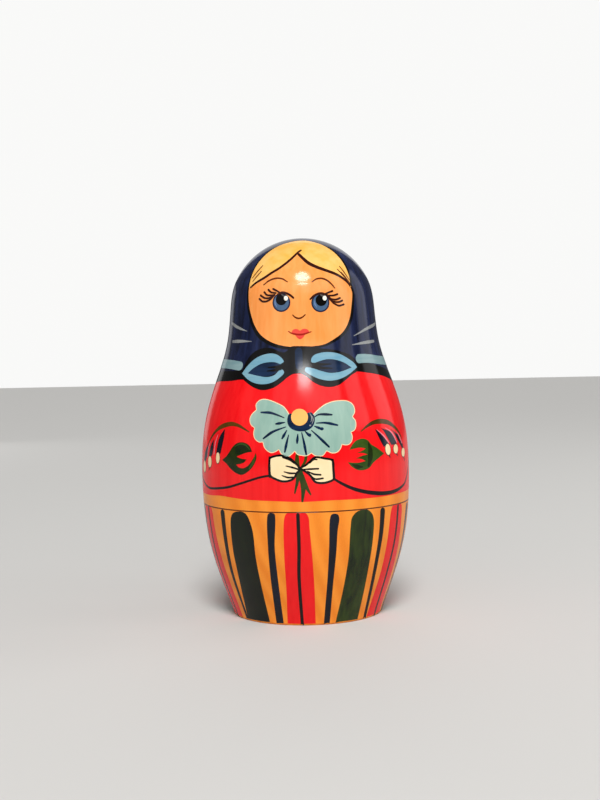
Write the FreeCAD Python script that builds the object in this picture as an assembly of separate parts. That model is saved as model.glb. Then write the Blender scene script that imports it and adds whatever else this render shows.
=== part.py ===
import FreeCAD, Part
import math
import os

# A family of five nesting dolls, turned from lime wood on a lathe.
# Every doll but the smallest is a hollow shell in two halves. The base half carries a thin
# spigot, which plugs into a socket inside the rim of the top half, and the next doll stands
# on its floor. The smallest doll is one solid piece.
# The origin is the centre of the outer doll's foot, Z is up, and the figures face -Y.
# All sizes are in millimetres.

# Outside of the outer doll
DOLL_HEIGHT = 125.0
FOOT_RADIUS = 24.85
BELLY_RADIUS = 34.7
BELLY_HEIGHT = 48.0
HEAD_RADIUS = 24.0
HEAD_HEIGHT = 101.5
SEAM_HEIGHT = 37.5

# Points of the outline between those sizes, as (share of the height, share of the radius).
# The flank runs from the foot to the belly, and the shoulder from the belly to the head.
FLANK_SHARES = [(0.43, 0.705)]
SHOULDER_SHARES = [(0.27, 0.10), (0.48, 0.37), (0.79, 0.87)]
# The crown is a quarter of an ellipse, with this many points past the head's side.
CROWN_POINTS = 5

# Walls of every hollow doll
SHELL_WALL = 3.0
FLOOR_THICKNESS = 4.0
CROWN_THICKNESS = 5.0
SOCKET_WALL = 2.0
SPIGOT_WALL = 2.0

# Spigot and socket: the length is the outer doll's, and shrinks with the doll
SPIGOT_LENGTH = 9.5
SOCKET_RELIEF = 0.6
FIT_CLEARANCE = 0.06

# Room round the widest part of a doll inside the bore of the one that holds it
NEST_PLAY = 2.0

# Broken edges of the outer doll, which shrink with the doll
FOOT_EASE = 0.8
SEAM_EASE = 0.15
SPIGOT_EASE = 0.5
FLOOR_CORNER = 2.0

HOLLOW_DOLLS = ["outer", "second", "third", "fourth"]
SMALLEST_DOLL = "smallest_doll"

UP = FreeCAD.Vector(0, 0, 1)
INWARD = FreeCAD.Vector(-1, 0, 0)
AXIS_FOOT = FreeCAD.Vector(0, 0, 0)
FULL_TURN = 360.0
HALVINGS = 60  # of the outline's range, to find its radius at a height
SAME_LENGTH = 1e-3  # two lengths nearer than this are the same


def between(low, high, share):
    """The length that lies this share of the way from low to high."""
    return low + (high - low) * share


def outline_of(scale, inset=0.0, crown=0.0):
    """The curve from the foot's edge up to the crown, for a doll of this scale.

    It lies inset inside the doll's side all the way, and crown below its top.
    """
    foot = FOOT_RADIUS * scale - inset
    belly = BELLY_RADIUS * scale - inset
    head = HEAD_RADIUS * scale - inset
    belly_height = BELLY_HEIGHT * scale
    head_height = HEAD_HEIGHT * scale
    dome = DOLL_HEIGHT * scale - crown - head_height
    points = [FreeCAD.Vector(foot, 0, 0)]
    for height_share, radius_share in FLANK_SHARES:
        radius = between(foot, belly, radius_share)
        points.append(FreeCAD.Vector(radius, 0, between(0, belly_height, height_share)))
    points.append(FreeCAD.Vector(belly, 0, belly_height))
    for height_share, radius_share in SHOULDER_SHARES:
        radius = between(belly, head, radius_share)
        height = between(belly_height, head_height, height_share)
        points.append(FreeCAD.Vector(radius, 0, height))
    for step in range(CROWN_POINTS + 1):
        angle = math.pi / 2 * step / CROWN_POINTS
        height = head_height + dome * math.sin(angle)
        points.append(FreeCAD.Vector(head * math.cos(angle), 0, height))
    # The last point lies on the axis, where the crown is level.
    points[-1] = FreeCAD.Vector(0, 0, head_height + dome)
    rise = (points[1] - points[0]).normalize()
    curve = Part.BSplineCurve()
    curve.interpolate(Points=points, InitialTangent=rise, FinalTangent=INWARD, Scale=False)
    return curve


def radius_at(outline, height):
    """The outline's radius at a height. It rises all the way, so halving its range finds it."""
    low, high = outline.FirstParameter, outline.LastParameter
    for _ in range(HALVINGS):
        middle = (low + high) / 2
        if outline.value(middle).z < height:
            low = middle
        else:
            high = middle
    return outline.value(low).x


def turned(outline):
    """The solid that the lathe leaves under an outline, with a level foot."""
    first = outline.value(outline.FirstParameter)
    last = outline.value(outline.LastParameter)
    foot = Part.makeLine(FreeCAD.Vector(0, 0, first.z), first)
    axis = Part.makeLine(last, FreeCAD.Vector(0, 0, first.z))
    face = Part.Face(Part.Wire([foot, outline.toShape(), axis]))
    return face.revolve(AXIS_FOOT, UP, FULL_TURN)


def plug(radius, low, high):
    """A plain round plug on the axis, from one height to another."""
    return Part.makeCylinder(radius, high - low, FreeCAD.Vector(0, 0, low))


def level_edges(shape, height):
    """The shape's circular edges at this height."""
    found = []
    for edge in shape.Edges:
        box = edge.BoundBox
        if abs(box.ZMin - height) < SAME_LENGTH and abs(box.ZMax - height) < SAME_LENGTH:
            found.append(edge)
    return found


def round_edges(shape, radius, height):
    """The shape's circular edges of this radius at this height."""
    found = []
    for edge in level_edges(shape, height):
        start = edge.Vertexes[0].Point
        if abs(math.hypot(start.x, start.y) - radius) < SAME_LENGTH:
            found.append(edge)
    return found


def with_rounded_foot(body, scale):
    """The turned body with the sharp edge of its foot rounded over."""
    return body.makeFillet(FOOT_EASE * scale, round_edges(body, FOOT_RADIUS * scale, 0))


class HollowDoll:
    """One doll that opens, with its foot at height zero."""

    def __init__(self, scale):
        self.scale = scale
        self.height = DOLL_HEIGHT * scale
        self.seam = SEAM_HEIGHT * scale
        self.blank_radius = BELLY_RADIUS * scale + SHELL_WALL  # clear of the belly all round
        outline = outline_of(scale)
        self.seam_radius = radius_at(outline, self.seam)
        self.socket_radius = self.seam_radius - SOCKET_WALL
        self.spigot_radius = self.socket_radius - FIT_CLEARANCE
        self.bore_radius = self.spigot_radius - SPIGOT_WALL
        self.spigot_top = self.seam + SPIGOT_LENGTH * scale
        self.body = with_rounded_foot(turned(outline), scale)
        self.hollow = self.turned_hollow()

    def turned_hollow(self):
        """What the hook tool takes out of both halves: no wider than the bore, on a level floor."""
        inner_outline = outline_of(self.scale, SHELL_WALL, CROWN_THICKNESS)
        bore = plug(self.bore_radius, FLOOR_THICKNESS, self.height)
        hollow = turned(inner_outline).common(bore)
        return hollow.makeFillet(FLOOR_CORNER * self.scale, level_edges(hollow, FLOOR_THICKNESS))

    def top_half(self):
        """The head and chest, with the socket inside its rim."""
        upper = self.body.common(plug(self.blank_radius, self.seam, self.height))
        socket = plug(self.socket_radius, self.seam, self.spigot_top + SOCKET_RELIEF)
        half = upper.cut(self.hollow).cut(socket).removeSplitter()
        rim = round_edges(half, self.seam_radius, self.seam)
        return half.makeFillet(SEAM_EASE * self.scale, rim)

    def base_half(self):
        """The skirt, with its floor inside and its spigot standing above the seam."""
        lower = self.body.common(plug(self.blank_radius, 0, self.seam))
        spigot = plug(self.spigot_radius, self.seam, self.spigot_top)
        half = lower.fuse(spigot).cut(self.hollow).removeSplitter()
        shoulder = round_edges(half, self.seam_radius, self.seam)
        half = half.makeFillet(SEAM_EASE * self.scale, shoulder)
        lip = round_edges(half, self.spigot_radius, self.spigot_top)
        return half.makeChamfer(SPIGOT_EASE * self.scale, lip)

    def scale_inside(self):
        """The scale of the doll that this one's bore takes, with its play."""
        return (self.bore_radius - NEST_PLAY) / BELLY_RADIUS


def export_piece(shape, stand, name):
    """Writes one piece, lifted to the floor that it stands on."""
    shape.translate(FreeCAD.Vector(0, 0, stand))
    piece = shape.Solids[0]
    piece.exportStep("parts/" + name + ".step")
    box = piece.BoundBox
    print(name, "valid", piece.isValid(), "solids", len(shape.Solids), "volume", round(piece.Volume, 1),
          "from", round(box.ZMin, 3), "to", round(box.ZMax, 3))


os.makedirs("parts", exist_ok=True)
doll_scale = 1.0
floor_height = 0.0
for doll_name in HOLLOW_DOLLS:
    doll = HollowDoll(doll_scale)
    print(doll_name, "scale", round(doll_scale, 4), "bore", round(doll.bore_radius, 3),
          "seam radius", round(doll.seam_radius, 3))
    export_piece(doll.top_half(), floor_height, doll_name + "_top")
    export_piece(doll.base_half(), floor_height, doll_name + "_base")
    doll_scale = doll.scale_inside()
    floor_height += FLOOR_THICKNESS
export_piece(with_rounded_foot(turned(outline_of(doll_scale)), doll_scale), floor_height, SMALLEST_DOLL)
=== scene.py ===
"""Painted finish of a family of five nesting dolls, laid as thin paint films over the turned wood.

Lengths are in millimetres and angles in radians until a mesh is placed, which is in metres.
A place on a doll's side is an azimuth, zero straight ahead and growing to the right as seen,
and a distance up the side, measured along it from the edge of the foot.
"""

import logging
import math
from dataclasses import dataclass, field
from enum import Enum
from typing import Callable, Sequence

import bpy
import numpy as np
from mathutils import Matrix, Vector


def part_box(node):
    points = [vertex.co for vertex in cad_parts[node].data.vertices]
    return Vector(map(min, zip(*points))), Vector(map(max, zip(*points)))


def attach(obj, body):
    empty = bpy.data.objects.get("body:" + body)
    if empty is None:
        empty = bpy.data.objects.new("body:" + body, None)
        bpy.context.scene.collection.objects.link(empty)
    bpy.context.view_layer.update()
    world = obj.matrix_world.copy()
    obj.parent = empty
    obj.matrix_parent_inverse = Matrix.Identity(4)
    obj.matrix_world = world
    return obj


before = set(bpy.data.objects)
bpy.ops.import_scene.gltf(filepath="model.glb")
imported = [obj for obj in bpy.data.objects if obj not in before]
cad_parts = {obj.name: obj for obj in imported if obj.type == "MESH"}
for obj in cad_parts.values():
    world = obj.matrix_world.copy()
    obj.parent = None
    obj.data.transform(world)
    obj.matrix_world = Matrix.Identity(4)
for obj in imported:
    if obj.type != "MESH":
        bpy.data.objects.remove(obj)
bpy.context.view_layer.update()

LOG = logging.getLogger("nesting_dolls")

MM = 0.001
FULL_TURN = 2 * math.pi
HOLLOW_DOLLS = ("outer", "second", "third", "fourth")
SMALLEST_DOLL = "smallest_doll"
ALL_DOLLS, LARGEST_FOUR, LARGEST_THREE, LARGEST_TWO = 5, 4, 3, 2

Pixel = tuple[float, float]  # a place in the photograph
Line = tuple[Pixel, ...]
Lines = tuple[Line, ...]
Size = tuple[float, float]
Widths = tuple[float, ...]  # a brush stroke's widths, spread evenly along it
Brushed = tuple[Line, Widths]
Behind = tuple[tuple[float, float], ...]  # azimuths in degrees and heights in millimetres
Screen = tuple[int, int, int]  # screen values of red, green and blue, from 0 to 255
Colour = tuple[float, float, float, float]
Border = Callable[[np.ndarray], np.ndarray]  # how far up the side it lies at an azimuth


def srgb(red: int, green: int, blue: int) -> Colour:
    """The linear colour that renders as these screen values.

    Args:
        red, green, blue: screen values from 0 to 255.

    Returns:
        Linear red, green, blue and an alpha of one.
    """
    def linear(value: int) -> float:
        """A screen value as a share of linear light."""
        share = value / 255
        return share / 12.92 if share <= 0.04045 else ((share + 0.055) / 1.055) ** 2.4

    return linear(red), linear(green), linear(blue), 1.0


class Half(Enum):
    """The half of a doll that a film is painted on."""

    TOP = "top"
    BASE = "base"


class Layer(Enum):
    """How far above the wood a film's face lies, in millimetres."""

    STAIN = 0.045
    DRESS = 0.065
    SCARF = 0.085
    TRIM = 0.105
    MOTIF = 0.125
    INNER = 0.145
    DETAIL = 0.165
    LINE = 0.185
    LASH = 0.205
    LIGHT = 0.225


FILM_DEPTH = 0.035  # how far a film's underside lies below its face
STROKE_SPREAD = 0.18  # how much wet paint adds to a stroke's width
GRID_CELL = 1.2  # side of the cells that a film is divided into to lie on the round wood
TURN_SEGMENTS = 192  # columns of a film that goes all the way round
RING_CELL = 1.25  # height of its rows, and side of a band's cells
BAND_END_COLUMNS = 8  # columns that a band has more for its round ends
BAND_EVEN_SHARE = 0.1  # how evenly its columns stand, where 1 is quite evenly
CURVE_GAP = 0.35  # about how far apart a curve's points are
BORDER_GAP = 0.01  # the same along a border, in radians
CAP_POINTS = 7  # points round the end of a stroke
DAB_POINTS = 28  # points round a dab
SAME_POINT = 1e-3  # points of an outline nearer than this are one
LEAST_STEP = 1e-6  # knots of a curve count as at least this far apart
LEAST_LENGTH = 1e-9  # a direction counts as at least this long
FLAT_MERGE = 1e-5  # points of a sheet that is cut, nearer than this, are one
FINE_MERGE = 1e-7  # the same on a cylinder of unit size, and in metres on the wood


# The photograph's camera


@dataclass(frozen=True)
class PhotoCamera:
    """The camera of the photograph, as seen from the middle of the doll's foot.

    Its distances are in millimetres, its angles in radians and its picture in pixels. A sight line
    is followed from march_from to march_to through march_steps points.
    """

    picture_width: float = 600.0
    picture_height: float = 800.0
    focal_length: float = 1240.0
    to_side: float = -1.4
    distance: float = 417.0
    height: float = 87.7
    pitch: float = -0.040
    roll: float = -0.020
    sensor: float = 36.0
    march_from: float = 340.0
    march_to: float = 480.0
    march_steps: int = 2801
    clip: tuple[float, float] = (10.0, 20000.0)

    def axes(self) -> tuple[np.ndarray, np.ndarray, np.ndarray]:
        """The camera's directions.

        Returns:
            Unit vectors to its right, up and ahead.
        """
        level = np.array([1.0, 0.0, 0.0])
        raised = np.array([0.0, -math.sin(self.pitch), math.cos(self.pitch)])
        ahead = np.array([0.0, math.cos(self.pitch), math.sin(self.pitch)])
        right = math.cos(self.roll) * level + math.sin(self.roll) * raised
        up = -math.sin(self.roll) * level + math.cos(self.roll) * raised
        return right, up, ahead

    def place(self) -> np.ndarray:
        """Returns the camera's place."""
        return np.array([self.to_side, -self.distance, self.height])

    def add(self) -> None:
        """Adds the camera to the scene and makes it the scene's own."""
        right, up, ahead = self.axes()
        data = bpy.data.cameras.new("photo_camera")
        data.sensor_width = self.sensor
        data.lens = self.focal_length * self.sensor / self.picture_height
        data.clip_start, data.clip_end = (limit * MM for limit in self.clip)
        camera = bpy.data.objects.new("photo_camera", data)
        turn = Matrix((right, up, -ahead)).transposed().to_4x4()
        camera.matrix_world = Matrix.Translation(Vector(self.place() * MM)) @ turn
        bpy.context.scene.collection.objects.link(camera)
        bpy.context.scene.camera = camera

    def meet(self, side: "DollSide", pixel: Pixel) -> tuple[float, float]:
        """Finds where the sight line through a pixel first meets a doll's side.

        Args:
            side: the doll's side.
            pixel: the place in the photograph.

        Returns:
            Azimuth and distance up the side. A line that misses gives its nearest place.
        """
        right, up, ahead = self.axes()
        across = (pixel[0] - self.picture_width / 2) / self.focal_length
        down = (pixel[1] - self.picture_height / 2) / self.focal_length
        line = ahead + across * right - down * up
        reach = np.linspace(self.march_from, self.march_to, self.march_steps)
        points = self.place() + reach[:, None] * line
        gaps = np.hypot(points[:, 0], points[:, 1]) - side.radius_at_height(points[:, 2])
        inside = np.flatnonzero(gaps < 0)
        if len(inside) and inside[0] > 0:
            first = inside[0]
            share = gaps[first - 1] / (gaps[first - 1] - gaps[first])
            point = points[first - 1] + share * (points[first] - points[first - 1])
        else:
            point = points[int(np.argmin(gaps))]
        return math.atan2(point[0], -point[1]), float(side.up_at_height(point[2]))


# The turned side of a doll


def rows_of(items: bpy.types.bpy_prop_collection, name: str) -> np.ndarray:
    """A vector of each point or face of a mesh.

    Args:
        items: the points or faces.
        name: what the vector is called.

    Returns:
        The vectors, one row each.
    """
    values = np.zeros(len(items) * 3)
    items.foreach_get(name, values)
    return values.reshape(-1, 3)


def places_of(mesh: bpy.types.Mesh) -> np.ndarray:
    """The places of a mesh's points, one row each."""
    return rows_of(mesh.vertices, "co")


class DollSide:
    """The outside of one doll, read from its turned halves.

    Attributes:
        up, radius, height: places up the side, with the radius and height there.
        out_radius, out_height: the two parts of the outward direction there.
        paint_radius, paint_height: the radius and height of the paint there.
        length: how far up the side the crown lies.
        seam: how far up the side the halves part, or none where the doll is one piece.
        outward: how far outwards a face of the outside leans at least.
        paint_lift: how far above the wood the paint is that is seen.
        corner_reach, corner_gap: the reach of a half's two ends, and the gap between points there.
        plain_gap, sample_gap: the gaps between points elsewhere, and once they are smoothed.
        no_side: the radius given where the doll has none.
    """

    outward: float = 0.01
    paint_lift: float = 0.14
    corner_reach: float = 0.3
    corner_gap: float = 0.03
    plain_gap: float = 0.6
    sample_gap: float = 0.05
    no_side: float = -10.0

    def __init__(self, base: str, top: str) -> None:
        """Reads the side of a doll.

        Args:
            base: the node that holds the foot.
            top: the node that holds the crown, which is the same one on a doll that doesn't open.
        """
        foot_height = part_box(base)[0].z / MM
        seam_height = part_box(top)[0].z / MM
        if base == top:
            runs = [self.sampled(self.rings(base, foot_height, math.inf))]
        else:
            runs = [self.sampled(self.rings(base, foot_height, seam_height)),
                    self.sampled(self.rings(top, seam_height, math.inf))]
        start = 0.0
        parts: list[np.ndarray] = []
        for radius, height, out_radius, out_height in runs:
            steps = np.hypot(np.diff(radius), np.diff(height))
            up = start + np.concatenate([[0.0], np.cumsum(steps)])
            parts.append(np.stack([up, radius, height, out_radius, out_height]))
            start = float(up[-1])
        whole = np.concatenate(parts, axis=1)
        self.up, self.radius, self.height, self.out_radius, self.out_height = whole
        self.seam = float(parts[0][0][-1]) if len(parts) > 1 else None
        self.length = float(self.up[-1])
        self.paint_height = np.maximum.accumulate(self.height + self.paint_lift * self.out_height)
        self.paint_radius = self.radius + self.paint_lift * self.out_radius

    def rings(self, name: str, low: float, high: float) -> np.ndarray:
        """The radius and height of the points of a node's outward faces.

        Args:
            name: the node.
            low, high: heights between which the faces lie.

        Returns:
            One row a point, from low to high, with no two close together.
        """
        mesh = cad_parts[name].data
        normal = rows_of(mesh.polygons, "normal")
        centre = rows_of(mesh.polygons, "center") / MM
        places = places_of(mesh) / MM
        corners = np.zeros(len(mesh.loops), np.int64)
        mesh.loops.foreach_get("vertex_index", corners)
        outward = (normal[:, :2] * centre[:, :2]).sum(1) / np.hypot(centre[:, 0], centre[:, 1])
        kept = (outward > self.outward) & (centre[:, 2] > low) & (centre[:, 2] < high)
        used = places[np.unique(corners.reshape(-1, 3)[kept])]
        points = np.stack([np.hypot(used[:, 0], used[:, 1]), used[:, 2]], axis=1)
        points = points[np.lexsort((-points[:, 0], points[:, 1]))]
        first, last = points[0], points[-1]
        found = [first]
        for point in points:
            near_end = min(math.dist(point, first), math.dist(point, last)) < self.corner_reach
            if math.dist(point, found[-1]) >= (self.corner_gap if near_end else self.plain_gap):
                found.append(point)
        if math.dist(found[-1], last) > 0:
            found[-1] = last
        return np.array(found)

    def sampled(self, rings: np.ndarray) -> tuple[np.ndarray, np.ndarray, np.ndarray, np.ndarray]:
        """A smooth, close row of points through a half's rings.

        Args:
            rings: radius and height, from low to high.

        Returns:
            Radius and height, and the radius and height of the outward direction.
        """
        along = np.concatenate([[0.0], np.cumsum(np.hypot(*np.diff(rings, axis=0).T))])
        slopes = np.gradient(rings, along, axis=0)
        if rings[-1][0] < self.plain_gap:  # the crown, which is level
            slopes[-1] = (-1.0, 0.0)
        points, ways = [], []
        for index in range(len(rings) - 1):
            gap = along[index + 1] - along[index]
            share = np.linspace(0, 1, max(2, math.ceil(gap / self.sample_gap)), endpoint=False)[:, None]
            square, cube = share ** 2, share ** 3
            start, end = rings[index], rings[index + 1]
            leave, arrive = slopes[index] * gap, slopes[index + 1] * gap
            points.append((2 * cube - 3 * square + 1) * start + (cube - 2 * square + share) * leave
                          + (3 * square - 2 * cube) * end + (cube - square) * arrive)
            ways.append((6 * square - 6 * share) * (start - end)
                        + (3 * square - 4 * share + 1) * leave + (3 * square - 2 * share) * arrive)
        places = np.concatenate(points + [rings[-1:]])
        way = np.concatenate(ways + [slopes[-1:]])
        way /= np.hypot(way[:, 0], way[:, 1])[:, None]
        return places[:, 0], places[:, 1], way[:, 1], -way[:, 0]

    def radius_at_height(self, height: np.ndarray) -> np.ndarray:
        """The radius of the painted side at some heights, below zero where the doll has none."""
        return np.interp(height, self.paint_height, self.paint_radius, left=self.no_side, right=self.no_side)

    def up_at_height(self, height: float) -> float:
        """How far up the side a height of the painted side lies."""
        return float(np.interp(height, self.paint_height, self.up))

    def radius_up(self, up: np.ndarray) -> np.ndarray:
        """The radius at some distances up the side."""
        return np.interp(up, self.up, self.radius)

    def surface(self, azimuth: np.ndarray, up: np.ndarray, offset: float) -> tuple[np.ndarray, np.ndarray]:
        """Places and outward directions over the wood.

        Args:
            azimuth, up: where on the side.
            offset: how far above the wood.

        Returns:
            Places in metres, and unit directions.
        """
        out_radius = np.interp(up, self.up, self.out_radius)
        out_height = np.interp(up, self.up, self.out_height)
        radius = np.interp(up, self.up, self.radius) + offset * out_radius
        height = np.interp(up, self.up, self.height) + offset * out_height
        places = np.stack([radius * np.sin(azimuth), -radius * np.cos(azimuth), height], axis=1)
        ways = np.stack([out_radius * np.sin(azimuth), -out_radius * np.cos(azimuth), out_height], axis=1)
        return places * MM, ways / np.linalg.norm(ways, axis=1)[:, None]


# Lines and outlines


def smooth(points: Sequence[Pixel], closed: bool = False, gap: float = CURVE_GAP) -> np.ndarray:
    """A centripetal curve through points.

    Args:
        points: the points, in order.
        closed: whether the last point leads back to the first.
        gap: about how far apart the curve's points are.

    Returns:
        One row a point. A closed curve doesn't repeat its first point.
    """
    knots = np.array(points, float)
    if len(knots) < 3 and not closed:
        count = max(2, math.ceil(math.dist(knots[0], knots[-1]) / gap))
        return np.linspace(knots[0], knots[-1], count + 1)
    if closed:
        padded = np.concatenate([knots[-1:], knots, knots[:2]])
    else:
        padded = np.concatenate([2 * knots[:1] - knots[1:2], knots, 2 * knots[-1:] - knots[-2:-1]])
    found = []
    for p0, p1, p2, p3 in zip(padded, padded[1:], padded[2:], padded[3:]):
        t1 = max(math.dist(p0, p1), LEAST_STEP) ** 0.5
        t2 = t1 + max(math.dist(p1, p2), LEAST_STEP) ** 0.5
        t3 = t2 + max(math.dist(p2, p3), LEAST_STEP) ** 0.5
        for t in np.linspace(t1, t2, max(2, math.ceil(math.dist(p1, p2) / gap)), endpoint=False):
            a1 = (t1 - t) / t1 * p0 + t / t1 * p1
            a2 = (t2 - t) / (t2 - t1) * p1 + (t - t1) / (t2 - t1) * p2
            a3 = (t3 - t) / (t3 - t2) * p2 + (t - t2) / (t3 - t2) * p3
            b1 = (t2 - t) / t2 * a1 + t / t2 * a2
            b2 = (t3 - t) / (t3 - t1) * a2 + (t - t1) / (t3 - t1) * a3
            found.append((t2 - t) / (t2 - t1) * b1 + (t - t1) / (t2 - t1) * b2)
    if not closed:
        found.append(knots[-1])
    return np.array(found)


def sideways(line: np.ndarray, closed: bool) -> np.ndarray:
    """The directions to the left of a line.

    Args:
        line: its points, one row each.
        closed: whether the last point leads back to the first.

    Returns:
        A unit vector for each point.
    """
    if closed:
        ahead = np.roll(line, -1, axis=0) - np.roll(line, 1, axis=0)
    else:
        ahead = np.gradient(line, axis=0)
    length = np.maximum(np.hypot(ahead[:, 0], ahead[:, 1]), LEAST_LENGTH)[:, None]
    return np.stack([-ahead[:, 1], ahead[:, 0]], axis=1) / length


def area_of(outline: np.ndarray) -> float:
    """The signed area inside an outline, above zero where it runs anticlockwise."""
    after = np.roll(outline, -1, axis=0)
    return float(0.5 * (outline[:, 0] * after[:, 1] - after[:, 0] * outline[:, 1]).sum())


def grown(outline: np.ndarray, widths: Sequence[float]) -> np.ndarray:
    """An outline moved outwards.

    Args:
        outline: a closed outline.
        widths: how far, spread evenly along it. Widths below zero move it inwards.

    Returns:
        The new outline, anticlockwise.
    """
    if area_of(outline) < 0:
        outline, widths = outline[::-1], tuple(widths)[::-1]
    shares = np.linspace(0, 1, len(outline), endpoint=False)
    amounts = np.interp(shares, np.linspace(0, 1, len(widths)), widths)
    return outline - sideways(outline, True) * amounts[:, None]


def ribbon(line: np.ndarray, widths: Sequence[float]) -> np.ndarray:
    """The outline of a brush stroke.

    Args:
        line: the stroke's middle.
        widths: its widths, spread evenly from its start to its end.

    Returns:
        A closed outline, with round ends where the stroke is wide.
    """
    along = np.concatenate([[0.0], np.cumsum(np.hypot(*np.diff(line, axis=0).T))])
    halves = np.interp(along / along[-1], np.linspace(0, 1, len(widths)), widths) / 2
    left = sideways(line, False)
    near_side, far_side = line + left * halves[:, None], line - left * halves[:, None]

    def cap(tip: np.ndarray, turn: np.ndarray, inside: np.ndarray, half: float) -> np.ndarray:
        """A round end.

        Args:
            tip, inside: the middle's last point and the one before it.
            turn: the direction to the side that the end starts from.
            half: half the stroke's width there.

        Returns:
            The points between its two corners.
        """
        way = (tip - inside) / max(math.dist(tip, inside), LEAST_LENGTH)
        angles = np.linspace(0, math.pi, CAP_POINTS)[1:-1, None]
        return tip + half * (np.cos(angles) * turn + np.sin(angles) * way)

    return np.concatenate([near_side, cap(line[-1], left[-1], line[-2], halves[-1]),
                           far_side[::-1], cap(line[0], -left[0], line[1], halves[0])])


# Flat sheets and films of paint


@dataclass
class Sheet:
    """A film before it is laid on the wood.

    Attributes:
        pattern: the object that holds its faces.
        azimuth, up: where each of its points goes on the largest doll.
    """

    pattern: bpy.types.Object
    azimuth: np.ndarray
    up: np.ndarray


def deselect_all() -> None:
    """Leaves edit mode and deselects every object."""
    if bpy.context.mode != "OBJECT":
        bpy.ops.object.mode_set(mode="OBJECT")
    bpy.ops.object.select_all(action="DESELECT")


def put(mesh: bpy.types.Mesh, places: np.ndarray) -> None:
    """Moves a mesh's points."""
    mesh.vertices.foreach_set("co", np.ascontiguousarray(places, dtype=np.float32).ravel())
    mesh.update()


def cut(place: float, axis: int, merge: float) -> None:
    """Divides the edited mesh by a plane.

    Args:
        place: where on the axis the plane lies.
        axis: 0 for a plane across X, 1 across Y, 2 across Z.
        merge: points nearer than this become one.
    """
    normal = [float(index == axis) for index in range(3)]
    bpy.ops.mesh.select_all(action="SELECT")
    bpy.ops.mesh.bisect(plane_co=[place * part for part in normal], plane_no=normal, threshold=merge)


def cover(mesh: bpy.types.Mesh, material: bpy.types.Material) -> None:
    """Gives a mesh one material."""
    mesh.materials.clear()
    mesh.materials.append(material)


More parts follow.
